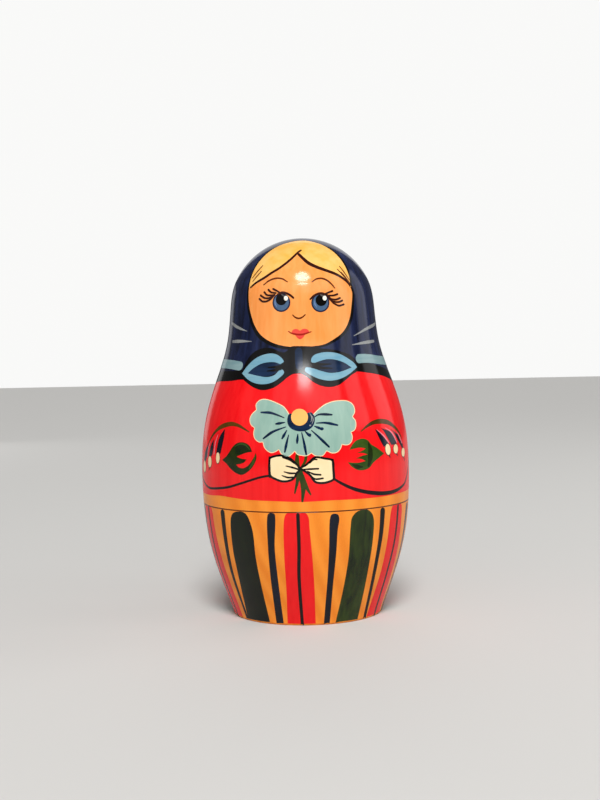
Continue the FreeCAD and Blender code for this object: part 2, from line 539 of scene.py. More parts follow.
class SheetMaker:
    """Makes flat sheets from outlines drawn on the largest doll's side."""

    def __init__(self, side: DollSide, camera: PhotoCamera) -> None:
        """Keeps the side and the camera that its outlines are seen with."""
        self.side = side
        self.camera = camera

    def across(self, azimuth: float, up: float) -> tuple[float, float]:
        """A place on the side as millimetres round it and up it."""
        return float(azimuth * self.side.radius_up(up)), up

    def seen(self, pixels: Sequence[Pixel]) -> list[tuple[float, float]]:
        """Pixels of the photograph as millimetres round the side and up it."""
        return [self.across(*self.camera.meet(self.side, pixel)) for pixel in pixels]

    def outline(self, *runs: Line) -> np.ndarray:
        """A closed outline of smooth runs with a corner where two runs meet.

        Args:
            runs: pixels. Each run goes on from the end of the one before it, and the first from the
                end of the last. A single run closes on itself smoothly.

        Returns:
            Its points, in millimetres round the side and up it.
        """
        if len(runs) == 1:
            return smooth(self.seen(runs[0]), closed=True)
        befores = runs[-1:] + runs[:-1]
        parts = [smooth(self.seen((before[-1], *run))) for before, run in zip(befores, runs)]
        points = np.concatenate(parts)
        apart = np.hypot(*(points - np.roll(points, 1, axis=0)).T) > SAME_POINT
        return points[apart]

    def stroke(self, pixels: Line, widths: Sequence[float], spread: float = STROKE_SPREAD,
               behind: Behind = ()) -> np.ndarray:
        """The outline of a brush stroke.

        Args:
            pixels: the pixels that it runs through.
            widths: its widths in millimetres, spread evenly along it.
            spread: how much the wet paint adds to them.
            behind: azimuths in degrees and heights in millimetres that it goes on through.

        Returns:
            A closed outline.
        """
        points = self.seen(pixels)
        for turn, height in behind:
            points.append(self.across(math.radians(turn), self.side.up_at_height(height)))
        return ribbon(smooth(points), [width + spread for width in widths])

    def strokes(self, lines: Sequence[Line], widths: Sequence[float],
                spread: float = STROKE_SPREAD) -> list[np.ndarray]:
        """The outlines of brush strokes of the same widths, one for each line of pixels."""
        return [self.stroke(line, widths, spread) for line in lines]

    def dot(self, pixel: Pixel, wide: float, high: float, lean: float = 0.0) -> np.ndarray:
        """The outline of an oval dab.

        Args:
            pixel: its middle.
            wide, high: its two half axes, in millimetres.
            lean: how far its top leans to the left, in degrees.

        Returns:
            A closed outline.
        """
        middle = np.array(self.seen([pixel])[0])
        angles = np.linspace(0, FULL_TURN, DAB_POINTS, endpoint=False)
        across, up = wide * np.cos(angles), high * np.sin(angles)
        turn = math.radians(lean)
        return middle + np.stack([across * math.cos(turn) - up * math.sin(turn),
                                  across * math.sin(turn) + up * math.cos(turn)], axis=1)

    def patch(self, outlines: Sequence[np.ndarray]) -> Sheet:
        """A sheet that fills outlines, divided finely enough to lie on the round wood.

        Args:
            outlines: closed outlines in millimetres round the side and up it.

        Returns:
            The sheet.
        """
        deselect_all()
        for index, outline in enumerate(outlines):
            bpy.ops.mesh.primitive_circle_add(vertices=len(outline), radius=1.0, fill_type="NGON")
            if index == 0:
                pattern = bpy.context.object
                bpy.ops.object.mode_set(mode="EDIT")
        bpy.ops.object.mode_set(mode="OBJECT")
        places = places_of(pattern.data)
        faces = sorted(pattern.data.polygons, key=lambda face: min(face.vertices))
        for face, outline in zip(faces, outlines):
            points = outline if area_of(outline) > 0 else outline[::-1]
            places[list(face.vertices), :2] = points
        places[:, 2] = 0
        put(pattern.data, places)
        bpy.ops.object.mode_set(mode="EDIT")
        for axis in (0, 1):
            first = math.ceil(places[:, axis].min() / GRID_CELL)
            last = math.floor(places[:, axis].max() / GRID_CELL)
            for step in range(first, last + 1):
                cut(step * GRID_CELL, axis, FLAT_MERGE)
        bpy.ops.mesh.select_all(action="SELECT")
        bpy.ops.mesh.quads_convert_to_tris(quad_method="BEAUTY", ngon_method="BEAUTY")
        bpy.ops.object.mode_set(mode="OBJECT")
        places = places_of(pattern.data)
        return Sheet(pattern, places[:, 0] / self.side.radius_up(places[:, 1]), places[:, 1])

    def ring(self, lower: Border, upper: Border, edges: Sequence[float] = ()) -> Sheet:
        """A sheet that goes all the way round the doll.

        Args:
            lower, upper: its two borders.
            edges: shares of its height with a row of points of their own.

        Returns:
            The sheet, closed at the crown where its upper border reaches it.
        """
        deselect_all()
        bpy.ops.mesh.primitive_cylinder_add(vertices=TURN_SEGMENTS, radius=1.0, depth=1.0,
                                            end_fill_type="NOTHING")
        pattern = bpy.context.object
        turn = np.linspace(-math.pi, math.pi, TURN_SEGMENTS)
        tallest = float((upper(turn) - lower(turn)).max())
        bpy.ops.object.mode_set(mode="EDIT")
        rows = math.ceil(tallest / RING_CELL)
        for share in sorted({row / rows for row in range(1, rows)} | set(edges)):
            cut(share - 0.5, 2, FINE_MERGE)
        bpy.ops.object.mode_set(mode="OBJECT")
        places = places_of(pattern.data)
        azimuth = np.arctan2(places[:, 0], -places[:, 1])
        share = places[:, 2] + 0.5
        up = lower(azimuth) + share * (upper(azimuth) - lower(azimuth))
        return Sheet(pattern, azimuth, up)

    def band(self, start: float, end: float, middle: Border, half: float) -> Sheet:
        """A sheet that goes part of the way round, with round ends.

        Args:
            start, end: the azimuths of its ends.
            middle: the course of its middle.
            half: half its width.

        Returns:
            The sheet.
        """
        radius = float(self.side.radius_up(middle(np.array([start])))[0])
        columns = math.ceil((end - start) * radius / RING_CELL)
        rows = max(2, math.ceil(2 * half / RING_CELL))
        deselect_all()
        bpy.ops.mesh.primitive_grid_add(x_subdivisions=columns + BAND_END_COLUMNS, y_subdivisions=rows, size=2.0)
        pattern = bpy.context.object
        places = places_of(pattern.data)
        # The columns crowd towards both ends, where the width falls off.
        crowded = np.sin(places[:, 0] * math.pi / 2)
        eased = BAND_EVEN_SHARE * places[:, 0] + (1 - BAND_EVEN_SHARE) * crowded
        azimuth = start + (eased + 1) / 2 * (end - start)
        from_end = np.minimum(azimuth - start, end - azimuth) * radius
        rounded = np.sqrt(np.clip(1 - (1 - np.clip(from_end / half, 0, 1)) ** 2, 0, 1))
        up = middle(azimuth) + places[:, 1] * half * rounded
        return Sheet(pattern, azimuth, up)


def lay(sheet: Sheet, name: str, side: DollSide, scale: float, layer: Layer,
        turns: Sequence[float]) -> bpy.types.Object:
    """Lays a sheet on a doll's side as a closed film of paint.

    Args:
        sheet: the sheet, drawn on the largest doll.
        name: the film's name.
        side: the doll's side.
        scale: the doll's size as a share of the largest doll's.
        layer: how far above the wood the film's face lies.
        turns: azimuths that its copies are turned by.

    Returns:
        The film.
    """
    films = []
    for turn in turns:
        film = bpy.data.objects.new(name, sheet.pattern.data.copy())
        bpy.context.scene.collection.objects.link(film)
        places, _ = side.surface(sheet.azimuth + turn, sheet.up * scale, layer.value)
        put(film.data, places)
        films.append(film)
    deselect_all()
    for film in films:
        film.select_set(True)
    film = films[0]
    bpy.context.view_layer.objects.active = film
    if len(films) > 1:
        bpy.ops.object.join()
    film.name = film.data.name = name
    bpy.ops.object.mode_set(mode="EDIT")
    bpy.ops.mesh.select_all(action="SELECT")
    bpy.ops.mesh.remove_doubles(threshold=FINE_MERGE)
    bpy.ops.object.mode_set(mode="OBJECT")
    bpy.ops.object.modifier_add(type="SOLIDIFY")
    wall = film.modifiers[-1]
    wall.thickness = FILM_DEPTH * MM
    wall.offset = -1.0
    bpy.ops.object.modifier_apply(modifier=wall.name)
    bpy.ops.object.shade_smooth()
    places = places_of(film.data) / MM
    up = np.interp(places[:, 2], side.height, side.up)
    _, ways = side.surface(np.arctan2(places[:, 0], -places[:, 1]), up, 0.0)
    film.data.normals_split_custom_set_from_vertices([tuple(way) for way in ways])
    return film


# Paints


class Grain(Enum):
    """Which way the brush ran, as how fine its streaks are along X, Y and Z."""

    UPRIGHT = (0.55, 0.55, 0.045)
    LEVEL = (0.12, 0.12, 0.9)
    MOTTLED = (0.25, 0.25, 0.25)


@dataclass(frozen=True)
class Paint:
    """One colour of brushed paint under clear gloss lacquer.

    Attributes:
        name: the finish's name.
        slot: the record's slot for it; not used.
        thick, thin: its screen colours where the brush left most paint and least.
        contrast: how strongly the strokes show, from 0 to 1.
        grain: which way the brush ran.
        roughness, thin_roughness: how rough thick and thin paint are under the lacquer.
    """

    name: str
    slot: str
    thick: Screen
    thin: Screen
    contrast: float
    grain: Grain = Grain.MOTTLED
    roughness: float = 0.45
    thin_roughness: float = 0.6


@dataclass(frozen=True)
class Wood:
    """Turned lime wood.

    Attributes:
        name: the finish's name.
        slot: the record's slot for it; not used.
        light, dark: its screen colours between the year rings and on them.
        smoothest, roughest: how rough it is beside its pores and in them.
        lacquered: whether clear gloss lacquer covers it.
    """

    name: str
    slot: str
    light: Screen
    dark: Screen
    smoothest: float
    roughest: float
    lacquered: bool


def feed(tree: bpy.types.NodeTree, node: bpy.types.Node, inputs: dict) -> None:
    """Sets a node's inputs.

    Args:
        tree: the node tree.
        node: the node.
        inputs: each input's value, or the socket that feeds it.
    """
    for key, value in inputs.items():
        if isinstance(value, bpy.types.NodeSocket):
            tree.links.new(value, node.inputs[key])
        else:
            node.inputs[key].default_value = value


def add_node(tree: bpy.types.NodeTree, kind: str, inputs: dict, **settings: object) -> bpy.types.Node:
    """Adds a shader node.

    Args:
        tree: the node tree.
        kind: the node's type, as it goes on after ShaderNode.
        inputs: each input's value, or the socket that feeds it.
        settings: the node's own settings.

    Returns:
        The node.
    """
    node = tree.nodes.new("ShaderNode" + kind)
    for name, value in settings.items():
        setattr(node, name, value)
    feed(tree, node, inputs)
    return node


def new_group(name: str, inputs: dict[str, float | None],
              outputs: Sequence[str]) -> tuple[bpy.types.NodeTree, bpy.types.Node, bpy.types.Node]:
    """A shader node group with named sockets.

    Args:
        name: the group's name.
        inputs: each input's default, or none for a vector.
        outputs: each output, a number.

    Returns:
        The group, its input node and its output node.
    """
    group = bpy.data.node_groups.new(name, "ShaderNodeTree")
    for label, default in inputs.items():
        kind = "NodeSocketVector" if default is None else "NodeSocketFloat"
        socket = group.interface.new_socket(name=label, in_out="INPUT", socket_type=kind)
        if default is not None:
            socket.default_value = default
    for label in outputs:
        group.interface.new_socket(name=label, in_out="OUTPUT", socket_type="NodeSocketFloat")
    return group, group.nodes.new("NodeGroupInput"), group.nodes.new("NodeGroupOutput")


class Finishes:
    """The shader node groups and materials of the dolls.

    Attributes:
        coat: the shader's own values for the clear gloss lacquer.
        wave_depth, lathe_depth: how deep the lacquer's waves and the lathe's marks are, in millimetres.
        pore_shade: what the wood's colour is multiplied by in its pores.
        made: the materials, by name.
        strokes, figure, skin: the groups for brush strokes, wood and lacquer.
    """

    coat: dict[str, float] = {
        "Coat Weight": 0.6, "Coat Roughness": 0.13, "Coat IOR": 1.5, "Specular IOR Level": 0.0}
    wave_depth: float = 0.05
    lathe_depth: float = 0.06
    pore_shade: Colour = (0.90, 0.84, 0.74, 1.0)

    def __init__(self) -> None:
        """Builds the groups that the materials share."""
        self.made: dict[str, bpy.types.Material] = {}
        self.strokes = self.brush_strokes()
        self.figure = self.wood_figure()
        self.skin = self.lacquer_skin()

    def brush_strokes(self) -> bpy.types.NodeTree:
        """Builds the mask of brush strokes: long streaks, softly broken up.

        Returns:
            The group.
        """
        group, start, end = new_group("brush strokes", {"Vector": None, "Contrast": 0.5}, ("Mask",))
        vector = start.outputs["Vector"]
        streaks = add_node(group, "TexNoise", {"Vector": vector, "Scale": 1.0, "Detail": 3.0, "Roughness": 0.55})
        clouds = add_node(group, "TexNoise", {"Vector": vector, "Scale": 0.22, "Detail": 1.0})
        weigh = add_node(group, "Math", {0: clouds.outputs["Fac"], 1: 0.4}, operation="MULTIPLY")
        blend = add_node(group, "Math", {0: streaks.outputs["Fac"], 1: 0.6, 2: weigh.outputs[0]},
                         operation="MULTIPLY_ADD")
        spread = add_node(group, "MapRange", {"Value": blend.outputs[0], "From Min": 0.36, "From Max": 0.64})
        scale = add_node(group, "Math", {0: spread.outputs[0], 1: start.outputs["Contrast"]}, operation="MULTIPLY")
        feed(group, end, {"Mask": scale.outputs[0]})
        return group

    def wood_figure(self) -> bpy.types.NodeTree:
        """Builds the figure of lime wood: faint year rings, fine pores and lathe marks.

        Returns:
            The group.
        """
        group, start, end = new_group("lime wood figure", {"Vector": None}, ("Rings", "Pores", "Lathe"))
        vector = start.outputs["Vector"]
        lean = add_node(group, "Mapping", {"Vector": vector, "Location": (17.0, 9.0, 0.0),
                                           "Rotation": (0.06, -0.05, 0.0)})
        fine = add_node(group, "Mapping", {"Vector": vector, "Scale": (6.0, 6.0, 0.35)})
        level_marks = add_node(group, "Mapping", {"Vector": vector, "Scale": (0.02, 0.02, 5.0)})
        rings = add_node(group, "TexWave", {"Vector": lean.outputs["Vector"], "Scale": 0.10, "Distortion": 2.2,
                                            "Detail": 2.0, "Detail Scale": 0.35},
                         wave_type="RINGS", rings_direction="Z")
        pores = add_node(group, "TexNoise", {"Vector": fine.outputs["Vector"], "Scale": 1.0, "Detail": 2.0})
        lathe = add_node(group, "TexNoise", {"Vector": level_marks.outputs["Vector"], "Scale": 1.0, "Detail": 1.0})
        feed(group, end, {"Rings": rings.outputs["Fac"], "Pores": pores.outputs["Fac"],
                          "Lathe": lathe.outputs["Fac"]})
        return group

    def lacquer_skin(self) -> bpy.types.NodeTree:
        """Builds the lacquer's slight waves.

        Returns:
            The group.
        """
        group, start, end = new_group("lacquer skin", {"Vector": None}, ("Height",))
        waves = add_node(group, "TexNoise", {"Vector": start.outputs["Vector"], "Scale": 0.16, "Detail": 2.0})
        feed(group, end, {"Height": waves.outputs["Fac"]})
        return group

    def lacquer(self, tree: bpy.types.NodeTree, shader: bpy.types.Node, vector: bpy.types.NodeSocket) -> None:
        """Puts clear gloss lacquer over a material.

        Args:
            tree: the material's node tree.
            shader: its Principled node.
            vector: object coordinates in millimetres.
        """
        skin = add_node(tree, "Group", {"Vector": vector}, node_tree=self.skin)
        relief = add_node(tree, "Bump", {"Height": skin.outputs["Height"], "Strength": 0.35,
                                         "Distance": self.wave_depth * MM})
        feed(tree, shader, {"Normal": relief.outputs["Normal"], **self.coat})

    def paint_nodes(self, paint: Paint, tree: bpy.types.NodeTree, shader: bpy.types.Node,
                    vector: bpy.types.NodeSocket) -> None:
        """Fills a material with a paint.

        Args:
            paint: the paint.
            tree: the material's node tree.
            shader: its Principled node.
            vector: object coordinates in millimetres.
        """
        way = add_node(tree, "Mapping", {"Vector": vector, "Scale": paint.grain.value})
        strokes = add_node(tree, "Group", {"Vector": way.outputs["Vector"], "Contrast": paint.contrast},
                           node_tree=self.strokes)
        mask = strokes.outputs["Mask"]
        mix = add_node(tree, "Mix", {"Factor": mask, "A": srgb(*paint.thick), "B": srgb(*paint.thin)},
                       data_type="RGBA")
        dull = add_node(tree, "MapRange", {"Value": mask, "To Min": paint.roughness, "To Max": paint.thin_roughness})
        feed(tree, shader, {"Base Color": mix.outputs["Result"], "Roughness": dull.outputs[0]})
        self.lacquer(tree, shader, vector)

    def wood_nodes(self, wood: Wood, tree: bpy.types.NodeTree, shader: bpy.types.Node,
                   vector: bpy.types.NodeSocket) -> None:
        """Fills a material with a wood.

        Args:
            wood: the wood.
            tree: the material's node tree.
            shader: its Principled node.
            vector: object coordinates in millimetres.
        """
        figure = add_node(tree, "Group", {"Vector": vector}, node_tree=self.figure)
        pores = figure.outputs["Pores"]
        rings = figure.outputs["Rings"]
        mix = add_node(tree, "Mix", {"Factor": rings, "A": srgb(*wood.light), "B": srgb(*wood.dark)},
                       data_type="RGBA")
        depth = add_node(tree, "MapRange", {"Value": pores, "From Min": 0.45, "From Max": 0.75, "To Max": 0.6})
        fine = add_node(tree, "Mix", {"Factor": depth.outputs[0], "A": mix.outputs["Result"], "B": self.pore_shade},
                        data_type="RGBA", blend_type="MULTIPLY")
        rough = add_node(tree, "MapRange", {"Value": pores, "To Min": wood.smoothest, "To Max": wood.roughest})
        feed(tree, shader, {"Base Color": fine.outputs["Result"], "Roughness": rough.outputs[0]})
        if wood.lacquered:
            self.lacquer(tree, shader, vector)
        else:
            marks = add_node(tree, "Bump", {"Height": figure.outputs["Lathe"], "Strength": 0.6,
                                            "Distance": self.lathe_depth * MM})
            feed(tree, shader, {"Normal": marks.outputs["Normal"]})

    def material_of(self, finish: Paint | Wood) -> bpy.types.Material:
        """The material of a finish, made on its first use.

        Args:
            finish: the paint or wood.

        Returns:
            Its material.
        """
        if finish.name not in self.made:
            material = bpy.data.materials.new(finish.name)
            material.use_nodes = True
            tree = material.node_tree
            place = add_node(tree, "TexCoord", {})
            size = add_node(tree, "Mapping", {"Vector": place.outputs["Object"], "Scale": (1 / MM, 1 / MM, 1 / MM)})
            fill = self.paint_nodes if isinstance(finish, Paint) else self.wood_nodes
            fill(finish, tree, tree.nodes["Principled BSDF"], size.outputs["Vector"])
            self.made[finish.name] = material
        return self.made[finish.name]


class Palette:
    """The finishes of the dolls, mixed from the photograph."""

    red = Paint("red paint", "red_paint", (236, 6, 16), (250, 30, 32), 0.8, Grain.UPRIGHT)
    stripe_red = Paint("stripe red paint", "red_paint", (230, 8, 16), (244, 26, 28), 0.7, Grain.UPRIGHT)
    # Rose paint is painted highlight on the buds' navy petals.
    rose = Paint("rose highlight paint", "red_paint", (240, 118, 134), (222, 132, 142), 0.6)
    coral = Paint("coral lip paint", "red_paint", (222, 62, 56), (236, 92, 74), 0.6, Grain.LEVEL)
    lip_line = Paint("lip line paint", "red_paint", (140, 26, 18), (176, 40, 26), 0.6, Grain.LEVEL)
    navy = Paint("navy paint", "navy_paint", (10, 15, 36), (34, 44, 84), 0.9, Grain.UPRIGHT)
    dark_navy = Paint("dark navy paint", "navy_paint", (6, 9, 18), (14, 21, 42), 0.8, Grain.UPRIGHT)
    bright_navy = Paint("bright navy paint", "navy_paint", (5, 24, 46), (24, 46, 80), 0.8, Grain.LEVEL)
    rim_navy = Paint("iris rim paint", "navy_paint", (24, 28, 50), (36, 44, 74), 0.6)
    iris = Paint("iris blue paint", "navy_paint", (56, 84, 116), (84, 108, 138), 0.9)
    gleam = Paint("iris gleam paint", "pale_blue_paint", (112, 134, 178), (96, 120, 162), 0.6)
    black = Paint("black paint", "black_paint", (3, 2, 2), (12, 10, 10), 0.6)
    dark_brown = Paint("dark brown paint", "black_paint", (42, 16, 12), (66, 26, 14), 0.7)
    # Brown line paint also colours the painted shadow along the seam.
    brown = Paint("brown line paint", "black_paint", (88, 38, 10), (116, 56, 18), 0.7)
    border_blue = Paint("thin pale blue paint", "pale_blue_paint", (118, 150, 156), (142, 168, 168), 0.8, Grain.LEVEL)
    pale_blue = Paint("pale blue paint", "pale_blue_paint", (100, 152, 176), (130, 170, 182), 0.8, Grain.LEVEL)
    teal = Paint("pale teal paint", "pale_blue_paint", (138, 172, 159), (160, 188, 174), 0.8, Grain.UPRIGHT)
    cream = Paint("cream paint", "cream_paint", (250, 224, 178), (240, 206, 152), 0.6)
    white = Paint("white paint", "cream_paint", (248, 244, 230), (238, 230, 210), 0.4)
    grey = Paint("pale grey paint", "cream_paint", (152, 154, 152), (122, 124, 128), 0.7, Grain.LEVEL)
    dim_grey = Paint("dim grey paint", "cream_paint", (92, 88, 86), (70, 66, 66), 0.6)
    flesh = Paint("flesh paint", "flesh_paint", (250, 164, 92), (242, 144, 66), 0.9, Grain.UPRIGHT)
    hair = Paint("yellow hair paint", "hair_paint", (252, 198, 118), (242, 174, 70), 0.9)
    ball = Paint("yellow ball paint", "hair_paint", (248, 186, 104), (244, 168, 80), 0.7)
    green = Paint("dark green paint", "green_paint", (14, 26, 5), (46, 62, 14), 1.0, Grain.UPRIGHT)
    dark_green = Paint("black green paint", "green_paint", (1, 3, 1), (18, 26, 6), 1.0, Grain.UPRIGHT)
    leaf = Paint("leaf green paint", "green_paint", (34, 64, 14), (62, 88, 28), 1.0)
    dark_leaf = Paint("dark leaf paint", "green_paint", (4, 24, 3), (36, 50, 10), 1.0)
    olive = Paint("olive paint", "green_paint", (50, 40, 2), (98, 62, 8), 0.9)
    stem = Paint("stem green paint", "green_paint", (24, 54, 6), (62, 64, 8), 1.0)
    stained_wood = Wood("ochre stained wood", "ochre_stain", (250, 150, 46), (240, 135, 34), 0.42, 0.55, True)
    bare_wood = Wood("bare lime wood", "lime_wood", (222, 190, 146), (208, 170, 122), 0.55, 0.75, False)


# What is painted


@dataclass
class Motif:
    """Something that is painted on each doll, down to a smallest one.

    Attributes:
        name: what it is.
        paint: its paint, or the stained wood.
        layer: how far above the wood it lies.
        half: the half that it is painted on.
        sheet: its sheet.
        turns: azimuths that it is repeated at.
        dolls: how many dolls of the family have it, from the largest.
    """

    name: str
    paint: Paint | Wood
    layer: Layer
    half: Half
    sheet: Sheet
    turns: tuple[float, ...] = (0.0,)
    dolls: int = ALL_DOLLS


def filled(maker: SheetMaker, rows: Sequence[tuple[str, Paint, Layer, Sequence[np.ndarray], int]]) -> list[Motif]:
    """Motifs on a doll's top half, from rows of name, paint, layer, outlines and how many dolls have it."""
    return [Motif(name, paint, layer, Half.TOP, maker.patch(outlines), dolls=dolls)
            for name, paint, layer, outlines, dolls in rows]


def level(up: float) -> Border:
    """A border that lies this far up the side all the way round."""
    return lambda azimuth: np.full_like(azimuth, up)


def raised(line: Border, rise: float) -> Border:
    """A border that lies this far above another."""
    return lambda azimuth: line(azimuth) + rise


def border(maker: SheetMaker, pixels: Line, behind: Behind = ()) -> Border:
    """A border that goes round the doll.

    Args:
        maker: the sheet maker.
        pixels: the border as the photograph shows it, from left to right.
        behind: azimuths in degrees and heights in millimetres that it passes through behind.

    Returns:
        The border.
    """
    ahead = [maker.camera.meet(maker.side, pixel) for pixel in pixels]
    rest = [(math.radians(turn), maker.side.up_at_height(height)) for turn, height in behind]
    points = sorted(ahead + rest)
    wrapped = [(a - FULL_TURN, u) for a, u in points] + points + [(a + FULL_TURN, u) for a, u in points]
    curve = smooth(wrapped, gap=BORDER_GAP)
    order = np.argsort(curve[:, 0])
    return lambda azimuth: np.interp(azimuth, curve[order, 0], curve[order, 1])


# The knot's lower edge in the photograph, which the scarf's hem follows
KNOT_EDGE: Line = (
    (248.0, 383.7), (255.5, 388.3), (262.9, 390.1), (271.6, 388.3), (280.2, 383.3), (287.7, 377.1),
    (293.9, 373.7), (300.0, 373.4), (306.2, 376.5), (313.6, 382.1), (322.3, 386.0), (329.7, 387.0),
    (337.2, 385.5), (344.6, 380.8), (352.0, 374.6))


@dataclass
class Grounds:
    """The stained wood, the plain red blouse and the painted shadow along the seam, which go all the way round."""

    waist_line: Line = (
        (208.6, 494.7), (221.3, 495.9), (249.6, 500.1), (272.6, 501.2), (303.2, 502.0), (330.6, 500.5),
        (361.3, 498.9), (384.2, 496.3), (402.6, 492.1))
    foot_reach: float = 0.15  # from the foot's edge up to the stain
    seam_reach: float = 0.2  # from the seam to the stain
    rim: tuple[float, float] = (0.1, 0.28)  # from the seam to the two edges of a brown band of painted shadow in the seam's groove
    tuck: float = 1.0  # how far a film runs on under the next
    seam_shadow_rows: tuple[float, ...] = (0.5,)  # shares of a film's height with a row of points of their own
    skirt_rows: tuple[float, ...] = (0.0012, 0.0024, 0.004, 0.008, 0.016)
    waistband_rows: tuple[float, ...] = (0.01, 0.02, 0.035, 0.055, 0.09)

    def motifs(self, maker: SheetMaker, hem: Border) -> list[Motif]:
        """Makes the grounds.

        Args:
            maker: the sheet maker.
            hem: the scarf's lower edge.

        Returns:
            The motifs.
        """
        waist = border(maker, self.waist_line)
        seam = maker.side.seam
        near_shadow_edge, far_shadow_edge = self.rim
        skirt_rows = self.skirt_rows + tuple(1 - share for share in self.skirt_rows)
        skirt = maker.ring(level(self.foot_reach), level(seam - self.seam_reach), skirt_rows)
        band = maker.ring(level(seam + self.seam_reach), raised(waist, self.tuck), self.waistband_rows)
        blouse = maker.ring(waist, raised(hem, self.tuck))
        # Two thin brown rings either side of the seam are painted shadow of the groove between the halves.
        shadow_below_seam = maker.ring(level(seam - far_shadow_edge), level(seam - near_shadow_edge), self.seam_shadow_rows)
        shadow_above_seam = maker.ring(level(seam + near_shadow_edge), level(seam + far_shadow_edge), self.seam_shadow_rows)
        return [Motif("painted_seam_shadow_below", Palette.brown, Layer.DRESS, Half.BASE, shadow_below_seam),
                Motif("painted_seam_shadow_above", Palette.brown, Layer.DRESS, Half.TOP, shadow_above_seam),
                Motif("ochre_skirt", Palette.stained_wood, Layer.STAIN, Half.BASE, skirt),
                Motif("ochre_waistband", Palette.stained_wood, Layer.STAIN, Half.TOP, band),
                Motif("red_blouse", Palette.red, Layer.DRESS, Half.TOP, blouse)]


@dataclass
class Scarf:
    """The navy kerchief, its black hem, its pale blue border and its grey creases."""

    hem_line: Line = (
        (217.8, 381.5), (230.7, 380.8), (241.3, 379.4), *KNOT_EDGE, (357.0, 371.4), (366.9, 372.4), (376.8, 374.0),
        (388.0, 377.7))
    hem_behind: Behind = (
        (105, 74.0), (135, 69.0), (160, 60.0), (174, 52.5), (180, 51.0), (-174, 52.5), (-160, 60.0), (-135, 69.0),
        (-105, 74.0))
    black_width: float = 3.4
    black_overlap: float = 0.02
    blue_left: Line = ((222.0, 363.4), (227.0, 364.0), (232.0, 364.6), (238.0, 365.7), (242.7, 366.2))
    blue_right: Line = (
        (355.9, 359.6), (359.0, 358.7), (363.6, 358.3), (371.0, 358.7), (378.0, 359.8), (385.5, 361.3))
    blue_rise: float = 5.4
    blue_width: float = 3.0
    crease_widths: Widths = (0.9, 1.1, 0.8, 0.15)
    creases: Lines = (
        ((232.0, 323.2), (239.0, 328.0), (246.9, 331.1)), ((232.8, 341.5), (242.0, 341.2), (251.6, 341.4)),
        ((375.0, 323.7), (366.0, 329.0), (353.9, 335.8)), ((373.8, 341.0), (364.0, 342.6), (352.2, 344.8)))

    def hem(self, maker: SheetMaker) -> Border:
        """The scarf's lower edge."""
        return border(maker, self.hem_line, self.hem_behind)

    def motifs(self, maker: SheetMaker) -> list[Motif]:
        """Makes the scarf.

        Args:
            maker: the sheet maker.

        Returns:
            Its motifs.
        """
        hem = self.hem(maker)
        cap = maker.ring(hem, level(maker.side.length))
        black = maker.ring(raised(hem, -self.black_overlap), raised(hem, self.black_width))
        start = maker.camera.meet(maker.side, self.blue_right[0])[0]
        end = maker.camera.meet(maker.side, self.blue_left[-1])[0] + FULL_TURN
        behind = [(turn, height + self.blue_rise) for turn, height in self.hem_behind]
        course = border(maker, self.blue_left + self.blue_right, behind)

        def middle(azimuth: np.ndarray) -> np.ndarray:
            """The blue border's course, for azimuths past the back too."""
            return course((azimuth + math.pi) % FULL_TURN - math.pi)

        blue = maker.band(start, end, middle, self.blue_width / 2)
        creases = maker.strokes(self.creases, self.crease_widths, 0.0)
        return [Motif("navy_scarf", Palette.navy, Layer.SCARF, Half.TOP, cap),
                Motif("black_scarf_hem", Palette.black, Layer.TRIM, Half.TOP, black),
                Motif("pale_blue_scarf_border", Palette.border_blue, Layer.INNER, Half.TOP, blue),
                *filled(maker, [("grey_scarf_creases", Palette.grey, Layer.TRIM, creases, LARGEST_THREE)])]


